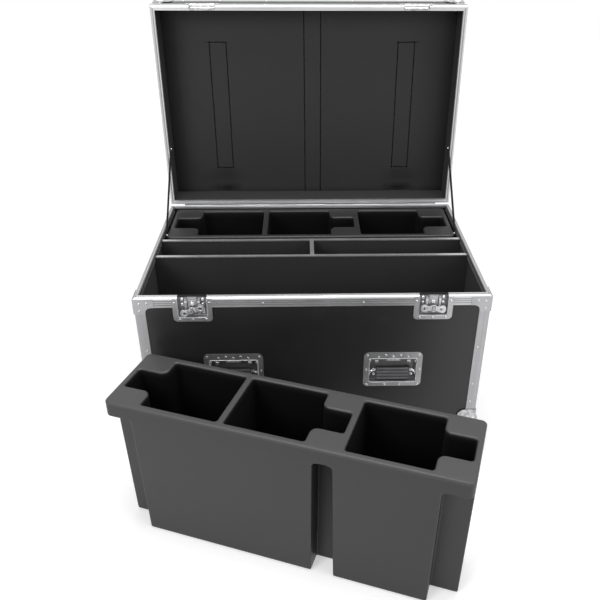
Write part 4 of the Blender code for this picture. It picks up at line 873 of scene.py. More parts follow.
class CASE_OT_lining(bpy.types.Operator):
    """Model the lid's foam lining with its slits, loose strips and dents"""
    bl_idname = "case.lining"
    bl_label = "Lid lining"

    def execute(self, context):
        sizes = context.scene.lining_sizes
        slit = sizes.slit / 2
        half_x, half_y = INNER_X - 0.0005, INNER_Y - 0.0005
        foot = LINING_TOP - sizes.foam
        foam = cube("lid_lining", (-half_x, -half_y, foot), (half_x, half_y, LINING_TOP))
        long_slits = [(STRIP_X + way * sizes.strip / 2, -half_y, half_y) for way in (-1, 1)]
        cross_slits = []
        for _, side in SIDES:
            middle = STRIP_X + side * INSERT_SPREAD
            inner, outer = [middle + way * side * sizes.strip / 2 for way in (-1, 1)]
            long_slits += [(x, INSERT_FRONT - slit, INSERT_REAR + slit) for x in (inner, outer)]
            for y, far in ((INSERT_FRONT, outer + side * NOTCH), (INSERT_REAR, outer)):
                low, high = sorted((inner, far))
                cross_slits.append((y, low - slit, high + slit))
        edit(foam)
        cuts_x, cuts_y = set(), set()
        for x, low, high in long_slits:
            cuts_x |= {x - slit, x + slit}
            cuts_y |= {y for y in (low, high) if abs(y) < half_y}
        for y, low, high in cross_slits:
            cuts_y |= {y - slit, y + slit}
            cuts_x |= {low, high}
        for cuts, half in ((cuts_x, half_x), (cuts_y, half_y)):
            count = int(half / LINING_GRID)
            for k in range(-count, count + 1):
                place = k * LINING_GRID
                if all(abs(place - other) > 0.006 for other in cuts):
                    cuts.add(place)
        for axis, cuts in ((0, cuts_x), (1, cuts_y)):
            for place in sorted(cuts):
                slice_at(axis, place)
        self.press_dents(foam, sizes, foot)
        self.open_slits(foam, long_slits, cross_slits, sizes)
        done()
        smooth(foam, 30.0)
        open_lid(foam)
        # Lid foam with painted shade along its sides and ends, in its dents and in its slits.
        look = foam_look(
            "lid_foam_skin", settings().lid_foam, 480.0, 0.0004, gloss=0.32, shade_share=lid_painted_shade)
        finish_piece(foam, look, "lid")
        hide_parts("lid_foam")
        return {"FINISHED"}

    def press_dents(self, foam, sizes, foot):
        """Push the visible face in below each short strip and let it swell a little elsewhere."""
        spots = [(STRIP_X + side * (INSERT_SPREAD + 0.006), HALF_Y - 0.045, sizes.dent, 0.055)
                 for _, side in SIDES]
        spots += [(side * 0.40, -0.24, sizes.dent * 0.5, 0.12) for _, side in SIDES]
        for x, y, depth, reach in spots:
            pick_verts(foam, lambda v: abs(v.x - x) < 0.028 and abs(v.y - y) < 0.014
                       and v.z < foot + 0.001)
            bpy.ops.transform.translate(
                value=(0, 0, depth), use_proportional_edit=True, use_proportional_connected=True,
                proportional_edit_falloff="SMOOTH", proportional_size=reach)

    def open_slits(self, foam, long_slits, cross_slits, sizes):
        def in_slit(centre, normal):
            if normal.z > -0.9:
                return False
            reach = sizes.slit / 2
            along = any(abs(centre.x - x) < reach and a < centre.y < b for x, a, b in long_slits)
            across = any(abs(centre.y - y) < reach and a < centre.x < b for y, a, b in cross_slits)
            return along or across

        pick_faces(foam, in_slit)
        bpy.ops.mesh.extrude_region_move(
            TRANSFORM_OT_translate={"value": (0, 0, sizes.slit_depth)})


# Stay straps

STRAP_OPEN = Vector((0, math.sin(OPEN_ANGLE - math.pi / 2), math.cos(OPEN_ANGLE - math.pi / 2)))
STRAP_BEHIND = Vector((0, STRAP_OPEN.z, -STRAP_OPEN.y))
STRAP_LID_POINT = Vector((0, HINGE_Y, HINGE_Z)) + STRAP_OPEN * 0.200 + STRAP_BEHIND * 0.022
STRAP_BODY_POINT = Vector((0, HALF_Y - 0.207, BODY_HEIGHT - 0.022))
STRAP_FACE = 0.4837
STRAP_WIDTH = 0.025
STRAP_SHEET = 0.0018
STRAP_STEPS = 60


class CASE_OT_straps(bpy.types.Operator):
    """Model the webbing stays between the lid and the body, with their washers"""
    bl_idname = "case.straps"
    bl_label = "Stay straps"

    def execute(self, context):
        run = STRAP_LID_POINT - STRAP_BODY_POINT
        slope = math.atan2(run.z, run.y)
        webbing = webbing_look("webbing", settings().webbing, -slope)
        steel = ready("wire_steel")
        for name, side in SIDES:
            strap = self.strap("stay_strap_" + name + "_webbing", side, run.length, slope)
            finish_piece(strap, webbing)
            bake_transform(strap)
            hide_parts("stay_strap_" + name)
            for body, point in (("case", STRAP_BODY_POINT), ("lid", STRAP_LID_POINT)):
                fixing = self.fixing("_".join(("stay_strap", name, body, "fixing")), side, point)
                finish_piece(fixing, steel, body)
        return {"FINISHED"}

    def strap(self, name, side, reach, slope):
        end = STRAP_WIDTH / 2
        outside = side * (STRAP_FACE - 0.0005)
        low, high = sorted((outside, outside - side * STRAP_SHEET))
        strap = cube(name, (low, -end, -end), (high, reach + end, end))
        edit(strap)
        for k in range(1, STRAP_STEPS):
            slice_at(1, -end + (reach + 2 * end) * k / STRAP_STEPS)
        pick_edges(strap, lambda a, b: abs(a.x - b.x) > STRAP_SHEET / 2)
        round_off(0.004, 3)
        pick_edges(strap, lambda a, b: abs(a.x - b.x) < STRAP_SHEET / 4, 60.0)
        round_off(0.0005, 2)
        done()
        smooth(strap, 50.0)
        strap.matrix_world = Matrix.Translation(STRAP_BODY_POINT) @ Matrix.Rotation(slope, 4, "X")
        return settle(strap)

    def fixing(self, name, side, point):
        """A dished washer and a rivet head through the strap's end."""
        face = side * (STRAP_FACE - 0.0005 - STRAP_SHEET)
        washer = cylinder(name, (face - side * 0.0006, point.y, point.z), 0.0085, 0.0012, "X", 28)
        press(washer, 0, -side, (0.0022, 0.0004), (0.0014, -0.0003), (0.0004, 0.0012),
              (0.0014, 0.0006))
        smooth(washer, 45.0)
        return washer


# Rivets

HINGE_FACE = HALF_Y + GAP + 0.0012
HINGE_ROW = [0.1 * step - 0.4 for step in range(9)]
STRIP_ROW = (0.140, 0.290, 0.410)
SIDE_RIVET = 0.140
POST_RIVET = 0.0215
POST_SUNK = 0.0003
FRONT = (0, -1, 0)


def model_rivet(radius, high):
    """A domed rivet head with the shallow ring that the setting tool leaves, its foot just sunk."""
    rivet = cylinder("rivet_pattern", (0, 0, high * 0.05), radius, high * 0.5, "Z", 14)
    shares = ((0.20, 0.30), (0.16, -0.10), (0.14, 0.26), (0.24, 0.14))
    press(rivet, 2, 1, *[(radius * out, high * up) for out, up in shares])
    smooth(rivet, 60.0)
    return rivet


def facing(place, normal):
    """The matrix that stands a pattern made along +Z on a place, along a normal."""
    return Matrix.Translation(place) @ Vector(normal).to_track_quat("Z", "Y").to_matrix().to_4x4()


def repeated(name, pattern, places):
    """Copies of a pattern on (place, normal) pairs, joined as one piece."""
    copies = [placed_copy(pattern, name, facing(place, normal)) for place, normal in places]
    return joined(name, copies)


def front_heads(name, pattern, x, face, rows):
    """Copies of a pattern on a front face; each row is a distance from x and a height."""
    return repeated(name, pattern, [((x + a, face, z), FRONT) for a, z in rows])


def across(*values):
    return [way * value for value in values for way in (-1, 1)]


def strip_rivet_places(rail, edge, front_row, hinge_row_z, post_row):
    """Rivets that the body and the lid share: rails, outer strips, hinge leaves and posts."""
    places = []
    for sign in (-1, 1):
        front, flank = (0, sign, 0), (sign, 0, 0)
        rows = [(x, edge) for x in across(*STRIP_ROW)]
        rows += [(x, rail) for x in across(*front_row) if sign < 0]
        places += [((x, sign * HALF_Y, z), front) for x, z in rows]
        if sign > 0:
            places += [((x, HINGE_FACE, hinge_row_z), front) for x in HINGE_ROW]
        rows = [(y, z) for y in across(SIDE_RIVET) for z in (rail, edge)] + [(0, edge)]
        places += [((sign * HALF_X, y, z), flank) for y, z in rows]
        for z in post_row:
            for side in (-1, 1):
                x, y = side * (HALF_X - POST_RIVET), sign * (HALF_Y - POST_SUNK)
                places.append(((x, y, z), front))
                x, y = sign * (HALF_X - POST_SUNK), side * (HALF_Y - POST_RIVET)
                places.append(((x, y, z), flank))
    return places


def body_rivet_places():
    """Rivets of the rails, the posts, the bottom strips and the braces."""
    places = strip_rivet_places(BODY_HEIGHT - 0.0195, FRAME_BOTTOM + 0.020, (SIDE_RIVET,),
                                HINGE_Z - 0.0115, (0.285, 0.152, 0.085))
    out = GAP + 0.0012
    for sign in (-1, 1):
        for x, z in ((0.4835, 0.4425), (0.4625, 0.4445), (0.4845, 0.4195)):
            places.append(((sign * x, -HALF_Y - out, z), FRONT))
        for y, z in ((-0.3135, 0.4425), (-0.2925, 0.4445), (-0.3145, 0.4195)):
            places.append(((sign * (HALF_X + out), y, z), (sign, 0, 0)))
    return places


def ball_rivet_places(centre_z, up):
    """Two rivets on each flange of the four ball corners of one end of the case."""
    out = GAP + 0.0015
    places = []
    for sx in (-1, 1):
        for sy in (-1, 1):
            for near, far in ((0.044, 0.018), (0.018, 0.044)):
                x, y, z = sx * (HALF_X - near), sy * (HALF_Y - near), centre_z + up * far
                places.append(((x, sy * (HALF_Y + out), z), (0, sy, 0)))
                places.append(((sx * (HALF_X + out), y, z), (sx, 0, 0)))
                flat = (sx * (HALF_X - near), sy * (HALF_Y - far), centre_z - up * out)
                places.append((flat, (0, 0, -up)))
    return places


def lid_rivet_places():
    """Rivets of the shut lid's rails, posts and top strips."""
    places = strip_rivet_places(LID_BOTTOM + 0.0195, LID_TOP - 0.020, (SIDE_RIVET, 0.235),
                                HINGE_Z + 0.0115, (0.524,))
    for sign in (-1, 1):
        for x in across(*STRIP_ROW):
            places.append(((x, sign * (HALF_Y - 0.020), LID_TOP), (0, 0, 1)))
        for y in (*across(SIDE_RIVET), 0):
            places.append(((sign * (HALF_X - 0.020), y, LID_TOP), (0, 0, 1)))
    return places


class CASE_OT_rivets(bpy.types.Operator):
    """Model one rivet and set copies in the rails, posts, strips and corners"""
    bl_idname = "case.rivets"
    bl_label = "Rivets"

    def execute(self, context):
        sizes = context.scene.hardware_sizes
        steel = ready("wire_steel")
        rivet = model_rivet(sizes.rivet, sizes.rivet_high)
        places = body_rivet_places() + ball_rivet_places(FRAME_BOTTOM, 1)
        finish_piece(repeated("case_rivets", rivet, places), steel, "case")
        places = lid_rivet_places() + ball_rivet_places(LID_TOP, -1)
        lid = open_lid(repeated("lid_rivets", rivet, places))
        finish_piece(lid, steel, "lid")
        remove(rivet)
        return {"FINISHED"}


# Pressed dishes


def flat_plate(name, low_x, low_z, high_x, high_z, face):
    """An upright plane that faces the front."""
    clear_selection()
    centre = ((low_x + high_x) / 2, face, (low_z + high_z) / 2)
    bpy.ops.mesh.primitive_plane_add(size=1, location=centre, rotation=(math.pi / 2, 0, 0))
    bpy.context.object.scale = (high_x - low_x, high_z - low_z, 1)
    return named(name)


def pressed_dish(name, plate, recess, face, deep, rounds, sizes, cut=None):
    """Press a recess with a raised line round it into a flange, both given as x and z corners.

    A cut is a height and which way the spare sheet is: 1 for above it, -1 for below.
    """
    low_x, low_z, high_x, high_z = plate
    rim = sizes.bead * 1.6
    left, foot, right, top = recess[0] - rim, recess[1] - rim, recess[2] + rim, recess[3] + rim
    dish = flat_plate(name, low_x, low_z, high_x, high_z, face)
    edit(dish)
    for place in (left, right):
        slice_at(0, place)
    for place in (foot, top):
        slice_at(2, place)
    near = 0.0004
    pick_verts(dish, lambda v: min(abs(v.x - low_x), abs(v.x - high_x)) < near
               and min(abs(v.z - low_z), abs(v.z - high_z)) < near)
    bpy.ops.mesh.bevel(offset=rounds[0], segments=7, affect="VERTICES")
    pick_verts(dish, lambda v: min(abs(v.x - left), abs(v.x - right)) < near
               and min(abs(v.z - foot), abs(v.z - top)) < near)
    bpy.ops.mesh.bevel(offset=rounds[1], segments=5, affect="VERTICES")
    pick_faces(dish, lambda c, n: left < c.x < right and foot < c.z < top
               and abs(c.x - (left + right) / 2) < 0.01 and abs(c.z - (foot + top) / 2) < 0.01)
    lift = sizes.bead * 0.55
    insets((sizes.bead * 0.6, lift), (sizes.bead * 0.4, 0.0), (sizes.bead * 0.6, -lift - 0.0012),
           (0.0008, 0.0024 - deep), (0.0014, -0.0012))
    if cut:
        bpy.ops.mesh.select_all(action="SELECT")
        bpy.ops.mesh.bisect(plane_co=(0, 0, cut[0]), plane_no=(0, 0, cut[1]), clear_outer=True)
    done()
    use_modifier(dish, "SOLIDIFY", thickness=sizes.dish_sheet, offset=-1.0)
    soften(dish, 0.00035, 2, 38)
    smooth(dish)
    return dish


def bent_rod(name, start, heading, radius, moves):
    """Draw a round bar along straight runs and bends; a bend is (centre, axis, degrees)."""
    clear_selection()
    turn = Vector(heading).to_track_quat("Z", "Y").to_euler()
    bpy.ops.mesh.primitive_circle_add(
        vertices=12, radius=radius, fill_type="NGON", location=start, rotation=turn)
    rod = named(name)
    choose(rod)
    bpy.ops.object.mode_set(mode="EDIT")
    bpy.ops.mesh.select_mode(type="FACE")
    bpy.ops.mesh.select_all(action="SELECT")
    for move in moves:
        if len(move) == 1:
            bpy.ops.mesh.extrude_region_move(TRANSFORM_OT_translate={"value": move[0]})
        else:
            centre, axis, degrees = move
            bpy.ops.mesh.spin(
                steps=6, dupli=False, angle=math.radians(degrees), center=centre, axis=axis)
    bpy.ops.mesh.select_all(action="SELECT")
    bpy.ops.mesh.remove_doubles(threshold=0.00001)
    bpy.ops.mesh.normals_make_consistent(inside=False)
    done()
    smooth(rod, 50.0)
    return rod


def coil(name, centre, radius, wire, turns, pitch):
    """A wound spring along X: a small ring of wire carried round the axis."""
    clear_selection()
    bpy.ops.mesh.primitive_circle_add(vertices=7, radius=wire, location=(0, 0, radius))
    spring = named(name)
    use_modifier(spring, "SCREW", axis="X", screw_offset=pitch, iterations=turns, steps=14,
                 render_steps=14, use_normal_calculate=True)
    spring.matrix_world = Matrix.Translation(Vector(centre) - Vector((pitch * turns / 2, 0, 0)))
    settle(spring)
    smooth(spring, 60.0)
    return spring


# Latches

LATCH_FACE = -0.3315
LATCH_BACK = -0.3202
LATCH_FOOT = BODY_HEIGHT - 0.076
LATCH_TOP = BODY_HEIGHT - 0.003
LATCH_HALF = 0.055
LATCH_RECESS = 0.0395
KEY_Z = 0.420
KEY_TILTS = {"left": math.radians(-20), "right": math.radians(4)}
KEEPER_FOOT = LID_BOTTOM + 0.003
WING_FRONT = LATCH_FACE - 0.001 - 0.0006 - 0.0022
WING_REACH = 0.0355
WING_HALF = 0.012
WING_PIN = 0.0055


def model_wing(name, side):
    """A butterfly wing: a stepped plate with a rolled edge and a finger hole with a raised ring."""
    back = WING_FRONT + 0.0022
    far = WING_REACH
    step = WING_PIN + (far - WING_PIN) * 0.62
    near = WING_PIN + (far - WING_PIN) * 0.38
    wing = cube(name, (WING_PIN, WING_FRONT + 0.0003, -WING_HALF), (far, back, WING_HALF))
    edit(wing)
    slice_at(0, near)
    slice_at(0, step)
    pick_verts(wing, lambda v: v.x < near + 0.0001)
    bpy.ops.transform.resize(value=(1, 1, 0.62))
    pick_edges(wing, lambda a, b: abs(a.y - b.y) > 0.001 and min(a.x, b.x) > far - 0.0001)
    round_off(WING_HALF * 0.8, 6)
    done()
    hole_x = far - WING_HALF
    drill = cylinder("wing_drill", (hole_x, back, 0), 0.0052, 0.02, "Y", 24)
    cut_out(wing, drill)
    soften(wing, 0.0005, 3, 40)
    clear_selection()
    bpy.ops.mesh.primitive_torus_add(
        location=(hole_x, WING_FRONT + 0.0005, 0), rotation=(math.pi / 2, 0, 0),
        major_radius=0.0060, minor_radius=0.0008, major_segments=28, minor_segments=8)
    ring = named("wing_ring")
    barrel = cylinder("wing_barrel", (WING_PIN + 0.0012, WING_FRONT + 0.0011, 0), 0.0016, 0.0138,
                      "Z", 14)
    soften(barrel, 0.0004)
    wing = joined(name, [wing, ring, barrel])
    if side < 0:
        choose(wing)
        bpy.ops.transform.mirror(constraint_axis=(True, False, False), center_override=(0, 0, 0))
        face_outwards(settle(wing))
    smooth(wing, 45.0)
    return wing


def model_key_cap(name):
    """The spindle's round head: a stepped rim, a dished face and a small boss."""
    cap = cylinder(name, (0, WING_FRONT + 0.0034, 0), 0.0112, 0.0016, "Y", 32)
    press(cap, 1, -1, (0.0012, 0.0005), (0.0022, -0.0004), (0.0018, 0.0), (0.0010, 0.0008))
    press(cap, 1, 1, (0.0030, 0.0), (0.0008, 0.0030))
    smooth(cap)
    return cap


class CASE_OT_latches(bpy.types.Operator):
    """Model the pressed latch dishes, their rivets, wings and turning heads"""
    bl_idname = "case.latches"
    bl_label = "Latches"

    def execute(self, context):
        sizes = context.scene.hardware_sizes
        zinc, steel = ready("latch_plate"), ready("wire_steel")
        rivet = model_rivet(0.0034, 0.0015)
        eyelet = model_rivet(0.0052, 0.0030)
        for name, side in SIDES:
            x = side * LATCH_X
            plate = (x - LATCH_HALF, LATCH_FOOT, x + LATCH_HALF, LATCH_TOP + 0.030)
            recess = (x - LATCH_RECESS, BODY_HEIGHT - 0.062, x + LATCH_RECESS, LATCH_TOP + 0.015)
            dish = pressed_dish(
                "latch_dish_" + name + "_pressing", plate, recess, LATCH_FACE,
                LATCH_BACK - LATCH_FACE, (0.018, 0.0075), sizes, (LATCH_TOP, 1))
            finish_piece(dish, zinc, "case")
            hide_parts("latch_dish_" + name)
            rows = [(a, 0.4445) for a in across(0.04825)]
            rows += [(a, LATCH_FOOT + 0.007) for a in (-0.037, 0, 0.037)]
            heads = front_heads("latch_" + name + "_rivets", rivet, x, LATCH_FACE, rows)
            finish_piece(heads, steel, "case")
            rows = [(a, z) for a in across(0.0290) for z in (0.4500, 0.4345, 0.4105)]
            heads = front_heads("latch_" + name + "_eyelets", eyelet, x, LATCH_BACK, rows)
            finish_piece(heads, steel, "case")
            self.drawing_parts(name, x)
            self.turning_parts(name, x, steel)
            self.keeper(name, x, sizes, ready("keeper_plate"), steel, rivet)
        remove(rivet)
        remove(eyelet)
        return {"FINISHED"}

    def keeper(self, name, x, sizes, zinc, steel, rivet):
        """The latch's upper half in the lid: a pressed dish, its bar and two rivets."""
        plate = (x - LATCH_HALF, LID_BOTTOM - 0.030, x + LATCH_HALF, LID_BOTTOM + 0.028)
        recess = (x - LATCH_RECESS, LID_BOTTOM - 0.020, x + LATCH_RECESS, LID_BOTTOM + 0.0165)
        dish = pressed_dish("lid_keeper_" + name + "_pressing", plate, recess, LATCH_FACE,
                            LATCH_BACK - LATCH_FACE, (0.009, 0.0055), sizes, (KEEPER_FOOT, -1))
        finish_piece(open_lid(dish), zinc, "lid")
        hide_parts("lid_keeper_" + name)
        bar = cylinder("lid_keeper_" + name + "_bar", (x, LATCH_FACE + 0.003, KEEPER_FOOT + 0.003),
                       0.0016, 0.0800, "X", 16)
        edit(bar)
        for place in (-0.030, -0.013, 0.013, 0.030):
            slice_at(0, x + place)
        pick_faces(bar, lambda centre, normal: abs(centre.x - x) < 0.013 and abs(normal.x) < 0.5)
        insets((0.0004, -0.0003))
        done()
        smooth(bar)
        finish_piece(open_lid(bar), steel, "lid")
        rows = [(a, LID_BOTTOM + 0.0135) for a in across(0.0482)]
        heads = front_heads("lid_keeper_" + name + "_rivets", rivet, x, LATCH_FACE, rows)
        finish_piece(open_lid(heads), steel, "lid")

    def drawing_parts(self, name, x):
        """The guides beside the draw plate, and the plate's ribs and domed stud."""
        bright = ready("wing_plate")
        guides = []
        for _, side in SIDES:
            low, high = sorted((x + side * 0.0150, x + side * 0.0215))
            guide = cube("guide", (low, LATCH_BACK - 0.0062, 0.4035),
                         (high, LATCH_BACK + 0.0002, 0.4530))
            edit(guide)
            for place in (0.4140, 0.4160, 0.4280, 0.4440):
                slice_at(2, place)
            pick_faces(guide, lambda c, n: n.y < -0.9 and (0.4160 < c.z < 0.4280 or c.z > 0.4440))
            insets((0.0012, -0.0030))
            done()
            soften(guide, 0.0006)
            guides.append(guide)
        guides = joined("latch_" + name + "_guides", guides)
        smooth(guides)
        finish_piece(guides, bright, "case")
        hook, face = "latch_hook_" + name, LATCH_BACK - GAP - 0.002
        ribs = []
        for low, high, deep in ((0.4462, 0.4492, 0.0016), (0.4512, 0.4550, 0.0022)):
            rib = cube("rib", (x - 0.0115, face - deep, low), (x + 0.0115, face + 0.0004, high))
            soften(rib, 0.0009, 3)
            ribs.append(rib)
        stud = cylinder("stud", (x, face - 0.0012, 0.4388), 0.0058, 0.0030, "Y", 28)
        press(stud, 1, -1, (0.0007, 0.0006), (0.0010, -0.0008), (0.0004, 0.0006),
              (0.0014, 0.0010), (0.0014, 0.0004))
        plate = joined(hook + "_ribs", [*ribs, stud])
        smooth(plate)
        finish_piece(plate, bright, hook)

    def turning_parts(self, name, x, steel):
        spindle = Matrix.Translation((x, 0, KEY_Z)) @ Matrix.Rotation(KEY_TILTS[name], 4, "Y")
        key = "latch_key_" + name
        cap = model_key_cap(key + "_head")
        cap.matrix_world = spindle
        finish_piece(settle(cap), steel, key)
        for wing_name, wing_side in SIDES:
            node = "latch_" + name + "_wing_" + wing_name
            wing = model_wing(node + "_pressing", wing_side)
            wing.matrix_world = spindle
            finish_piece(settle(wing), ready("wing_plate"), node)
            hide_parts(node)


# Handles

HANDLE_X = 0.234
HANDLE_FACE = -0.3294
HANDLE_HALF, HANDLE_RECESS = 0.0865, 0.069
HANDLE_FOOT, HANDLE_TOP = 0.148, 0.270
RECESS_FOOT, RECESS_TOP = 0.164, 0.246
BAIL_Y, BAIL_Z = -0.3226, 0.236


def model_grip(x):
    """The rubber sleeve of a bail, with long ridges front and back and a collar at each end."""
    low_z, high_z = BAIL_Z - 0.0627, BAIL_Z - 0.0227
    grip = cube("grip_pattern", (x - 0.050, BAIL_Y - 0.0045, low_z),
                (x + 0.050, BAIL_Y + 0.0045, high_z))
    edit(grip)
    count, high, collar = 7, high_z - low_z, 0.0465
    for k in range(1, count):
        slice_at(2, low_z + high * k / count)
    for place in across(collar):
        slice_at(0, x + place)

    def is_ridge(centre, normal):
        row = int((centre.z - low_z) / high * count)
        return abs(normal.y) > 0.9 and row % 2 == 0 and abs(centre.x - x) < collar

    def is_collar(centre, normal):
        return abs(normal.x) < 0.9 and abs(centre.x - x) > collar

    pick_faces(grip, is_ridge)
    insets((0.0010, 0.0018))
    pick_faces(grip, is_collar)
    bpy.ops.transform.resize(
        value=(1.0, 1.22, 1.03), center_override=(x, BAIL_Y, (low_z + high_z) / 2))
    done()
    soften(grip, 0.0010, 3)
    smooth(grip, 50.0)
    return grip


class CASE_OT_handles(bpy.types.Operator):
    """Model the pressed handle dishes with their rivets, springs, bails and ribbed grips"""
    bl_idname = "case.handles"
    bl_label = "Handles"

    def execute(self, context):
        sizes = context.scene.hardware_sizes
        zinc, steel = ready("handle_plate"), ready("wire_steel")
        rubber = ready("grip_rubber")
        rivet = model_rivet(0.0035, 0.0016)
        for name, side in SIDES:
            x = side * HANDLE_X
            self.dish(name, x, sizes, zinc, steel, rivet)
            bail = self.bail("handle_bail_" + name + "_wire", x, sizes.wire)
            finish_piece(bail, steel, "handle_bail_" + name)
            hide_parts("handle_bail_" + name)
            grip = model_grip(x)
            grip.name = grip.data.name = "handle_bail_" + name + "_grip"
            finish_piece(grip, rubber, "handle_bail_" + name)
        remove(rivet)
        return {"FINISHED"}

    def dish(self, name, x, sizes, zinc, steel, rivet):
        plate = (x - HANDLE_HALF, HANDLE_FOOT, x + HANDLE_HALF, HANDLE_TOP)
        recess = (x - HANDLE_RECESS, RECESS_FOOT, x + HANDLE_RECESS, RECESS_TOP)
        dish = pressed_dish("handle_dish_" + name + "_pressing", plate, recess, HANDLE_FACE, 0.015,
                            (0.016, 0.006), sizes)
        finish_piece(dish, zinc, "case")
        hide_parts("handle_dish_" + name)
        upper, lip, pitch = HANDLE_TOP - 0.0105, HANDLE_FOOT + 0.0065, 0.0216
        rows = [(a, z) for a in across(0.0760) for z in (upper, lip)]
        rows += [(a, 0.209) for a in across(0.0790)] + [(a, lip) for a in across(pitch)]
        rows += [(step * pitch, 0.2545 if step % 2 == 0 else 0.2595) for step in range(-2, 3)]
        heads = front_heads("handle_" + name + "_rivets", rivet, x, HANDLE_FACE, rows)
        finish_piece(heads, steel, "case")
        stop = cube("handle_" + name + "_stop", (x - 0.021, HANDLE_FACE + 0.0002, 0.2392),
                    (x + 0.021, HANDLE_FACE + 0.0070, 0.2462))
        soften(stop, 0.0011, 3)
        smooth(stop)
        pimple = model_rivet(0.0019, 0.0010)
        rows = [(a, 0.2427) for a in (-0.012, 0, 0.012)]
        marks = front_heads(
            "handle_" + name + "_stop_marks", pimple, x, HANDLE_FACE + 0.0003, rows)
        remove(pimple)
        stop = joined("handle_" + name + "_stop", [stop, marks])
        finish_piece(stop, ready("wing_plate"), "case")
        coils = [coil("spring", (x + a, BAIL_Y, BAIL_Z), 0.0056, 0.0008, 5, 0.0019)
                 for a in across(0.0475)]
        springs = joined("handle_" + name + "_springs", coils)
        finish_piece(springs, steel, "case")

    def bail(self, name, x, radius):
        """The bent wire from pivot to pivot, with a bolt head where the grip ends."""
        bend, out, arm = 0.006, 0.0685, 0.0585
        top, foot = BAIL_Z, BAIL_Z - 0.057
        axis = (0, 1, 0)
        moves = [
            ((out - arm - bend, 0, 0),),
            ((x - arm - bend, BAIL_Y, top - bend), axis, 90),
            ((0, 0, foot - top + 2 * bend),),
            ((x - arm + bend, BAIL_Y, foot + bend), axis, -90),
            ((2 * (arm - bend), 0, 0),),
            ((x + arm - bend, BAIL_Y, foot + bend), axis, -90),
            ((0, 0, top - foot - 2 * bend),),
            ((x + arm + bend, BAIL_Y, top - bend), axis, 90),
            ((out - arm - bend, 0, 0),),
        ]
        wire = bent_rod(name, (x - out, BAIL_Y, top), (1, 0, 0), radius, moves)
        head = model_rivet(0.0042, 0.0018)
        spots = [(a, z) for a in across(0.0560) for z in (0.2065, 0.190)]
        heads = front_heads("bail_heads", head, x, BAIL_Y - radius * 0.9, spots)
        remove(head)
        return joined(name, [wire, heads])


# Ribbed strips, ball corners and castors

STRIP_TOP = BODY_HEIGHT - 0.0068
BALL_INSET = 0.013
BALL_RADIUS = 0.0247
CORNERS = (("front_left", -1, -1), ("front_right", 1, -1),
           ("rear_right", 1, 1), ("rear_left", -1, 1))
CASTOR_X, CASTOR_Y = 0.385, 0.222
CASTOR_TRAIL = 0.030
AXLE_Z = -0.087
WHEEL_RADIUS, WHEEL_WIDTH, CORE_RADIUS = 0.050, 0.032, 0.0410
PLATE_FOOT = -GAP - 0.003
UP = Vector((0, 0, 1))


class CASE_OT_strips(bpy.types.Operator):
    """Model the ribbed strips along the tops of the two side walls"""
    bl_idname = "case.strips"
    bl_label = "Ribbed strips"

    def execute(self, context):
        look = ready("ribbed_strip")
        pitch, reach = 0.0104, INNER_Y - 0.003
        rib = pitch * 0.45
        for name, side in SIDES:
            low, high = sorted((side * (INNER_X - 0.0002), side * (INNER_X - 0.0022)))
            strip = cube("wall_strip_" + name, (low, -reach, STRIP_TOP - 0.0145),
                         (high, reach, STRIP_TOP))
            edit(strip)
            for k in range(1, int(2 * reach / pitch)):
                slice_at(1, -reach + k * pitch)
                slice_at(1, -reach + k * pitch + rib)
            pick_faces(strip, lambda c, n: n.x * side < -0.9
                       and (c.y + reach) % pitch < rib)
            bpy.ops.mesh.inset(thickness=0.0005, depth=0.0015, use_individual=True)
            done()
            smooth(strip, 30.0)
            finish_piece(strip, look, "case")
        return {"FINISHED"}


class CASE_OT_balls(bpy.types.Operator):
    """Model the rounded shells that cover the eight corners"""
    bl_idname = "case.balls"
    bl_label = "Ball corners"

    def execute(self, context):
        zinc = ready("corner_plate")
        clear_selection()
        spot, outwards = Vector((BALL_INSET,) * 3), Vector((-1, -1, -1)).normalized()
        bpy.ops.mesh.primitive_uv_sphere_add(
            segments=36, ring_count=30, radius=BALL_RADIUS, location=spot,
            rotation=outwards.to_track_quat("Z", "Y").to_euler())
        shell = named("ball_pattern")
        edit(shell)
        for low, high in ((17, 31), (49, 55)):
            pick_faces(shell, lambda c, n: low < math.degrees((c - spot).angle(outwards)) < high)
            insets((0.0007, -0.0009))
        done()
        inside = cube("ball_inside", (-0.0004, -0.0004, -0.0004), (0.08, 0.08, 0.08))
        cut_out(shell, inside)
        for end, up in (("bottom", 1), ("lid", -1)):
            for name, sx, sy in CORNERS:
                base = FRAME_BOTTOM if end == "bottom" else LID_TOP
                turn = Matrix.Diagonal((-sx, -sy, up, 1.0))
                piece = placed_copy(shell, end + "_ball_" + name, Matrix.Translation(
                    (sx * HALF_X, sy * HALF_Y, base)) @ turn)
                face_outwards(piece)
                smooth(piece, 50.0)
                if end == "lid":
                    open_lid(piece)
                finish_piece(piece, zinc, "lid" if end == "lid" else "case")
        remove(shell)
        return {"FINISHED"}


def model_wheel(name, centre):
    """A castor's wheel: a rounded tyre, a groove, the core's rim, its web and its raised hub."""
    wheel = cylinder(name, centre, WHEEL_RADIUS, WHEEL_WIDTH, "X", 56)
    edit(wheel)
    pick_edges(wheel, lambda a, b: abs(a.x - b.x) < 0.001, 60.0)
    round_off(0.0045, 4)
    pick_faces(wheel, lambda c, n: abs(n.x) > 0.9
               and math.hypot(c.y - centre[1], c.z - centre[2]) < 0.01)
    insets((0.0042, 0.0), (0.0006, -0.0009), (0.0007, 0.0009), (0.0028, 0.0), (0.0010, -0.0056),
           (0.0190, -0.0004), (0.0010, 0.0052), (0.0040, 0.0), (0.0006, -0.0006))
    done()
    drill = cylinder("wheel_drill", centre, 0.0064, 0.06, "X", 24)
    cut_out(wheel, drill)
    smooth(wheel)
    return wheel


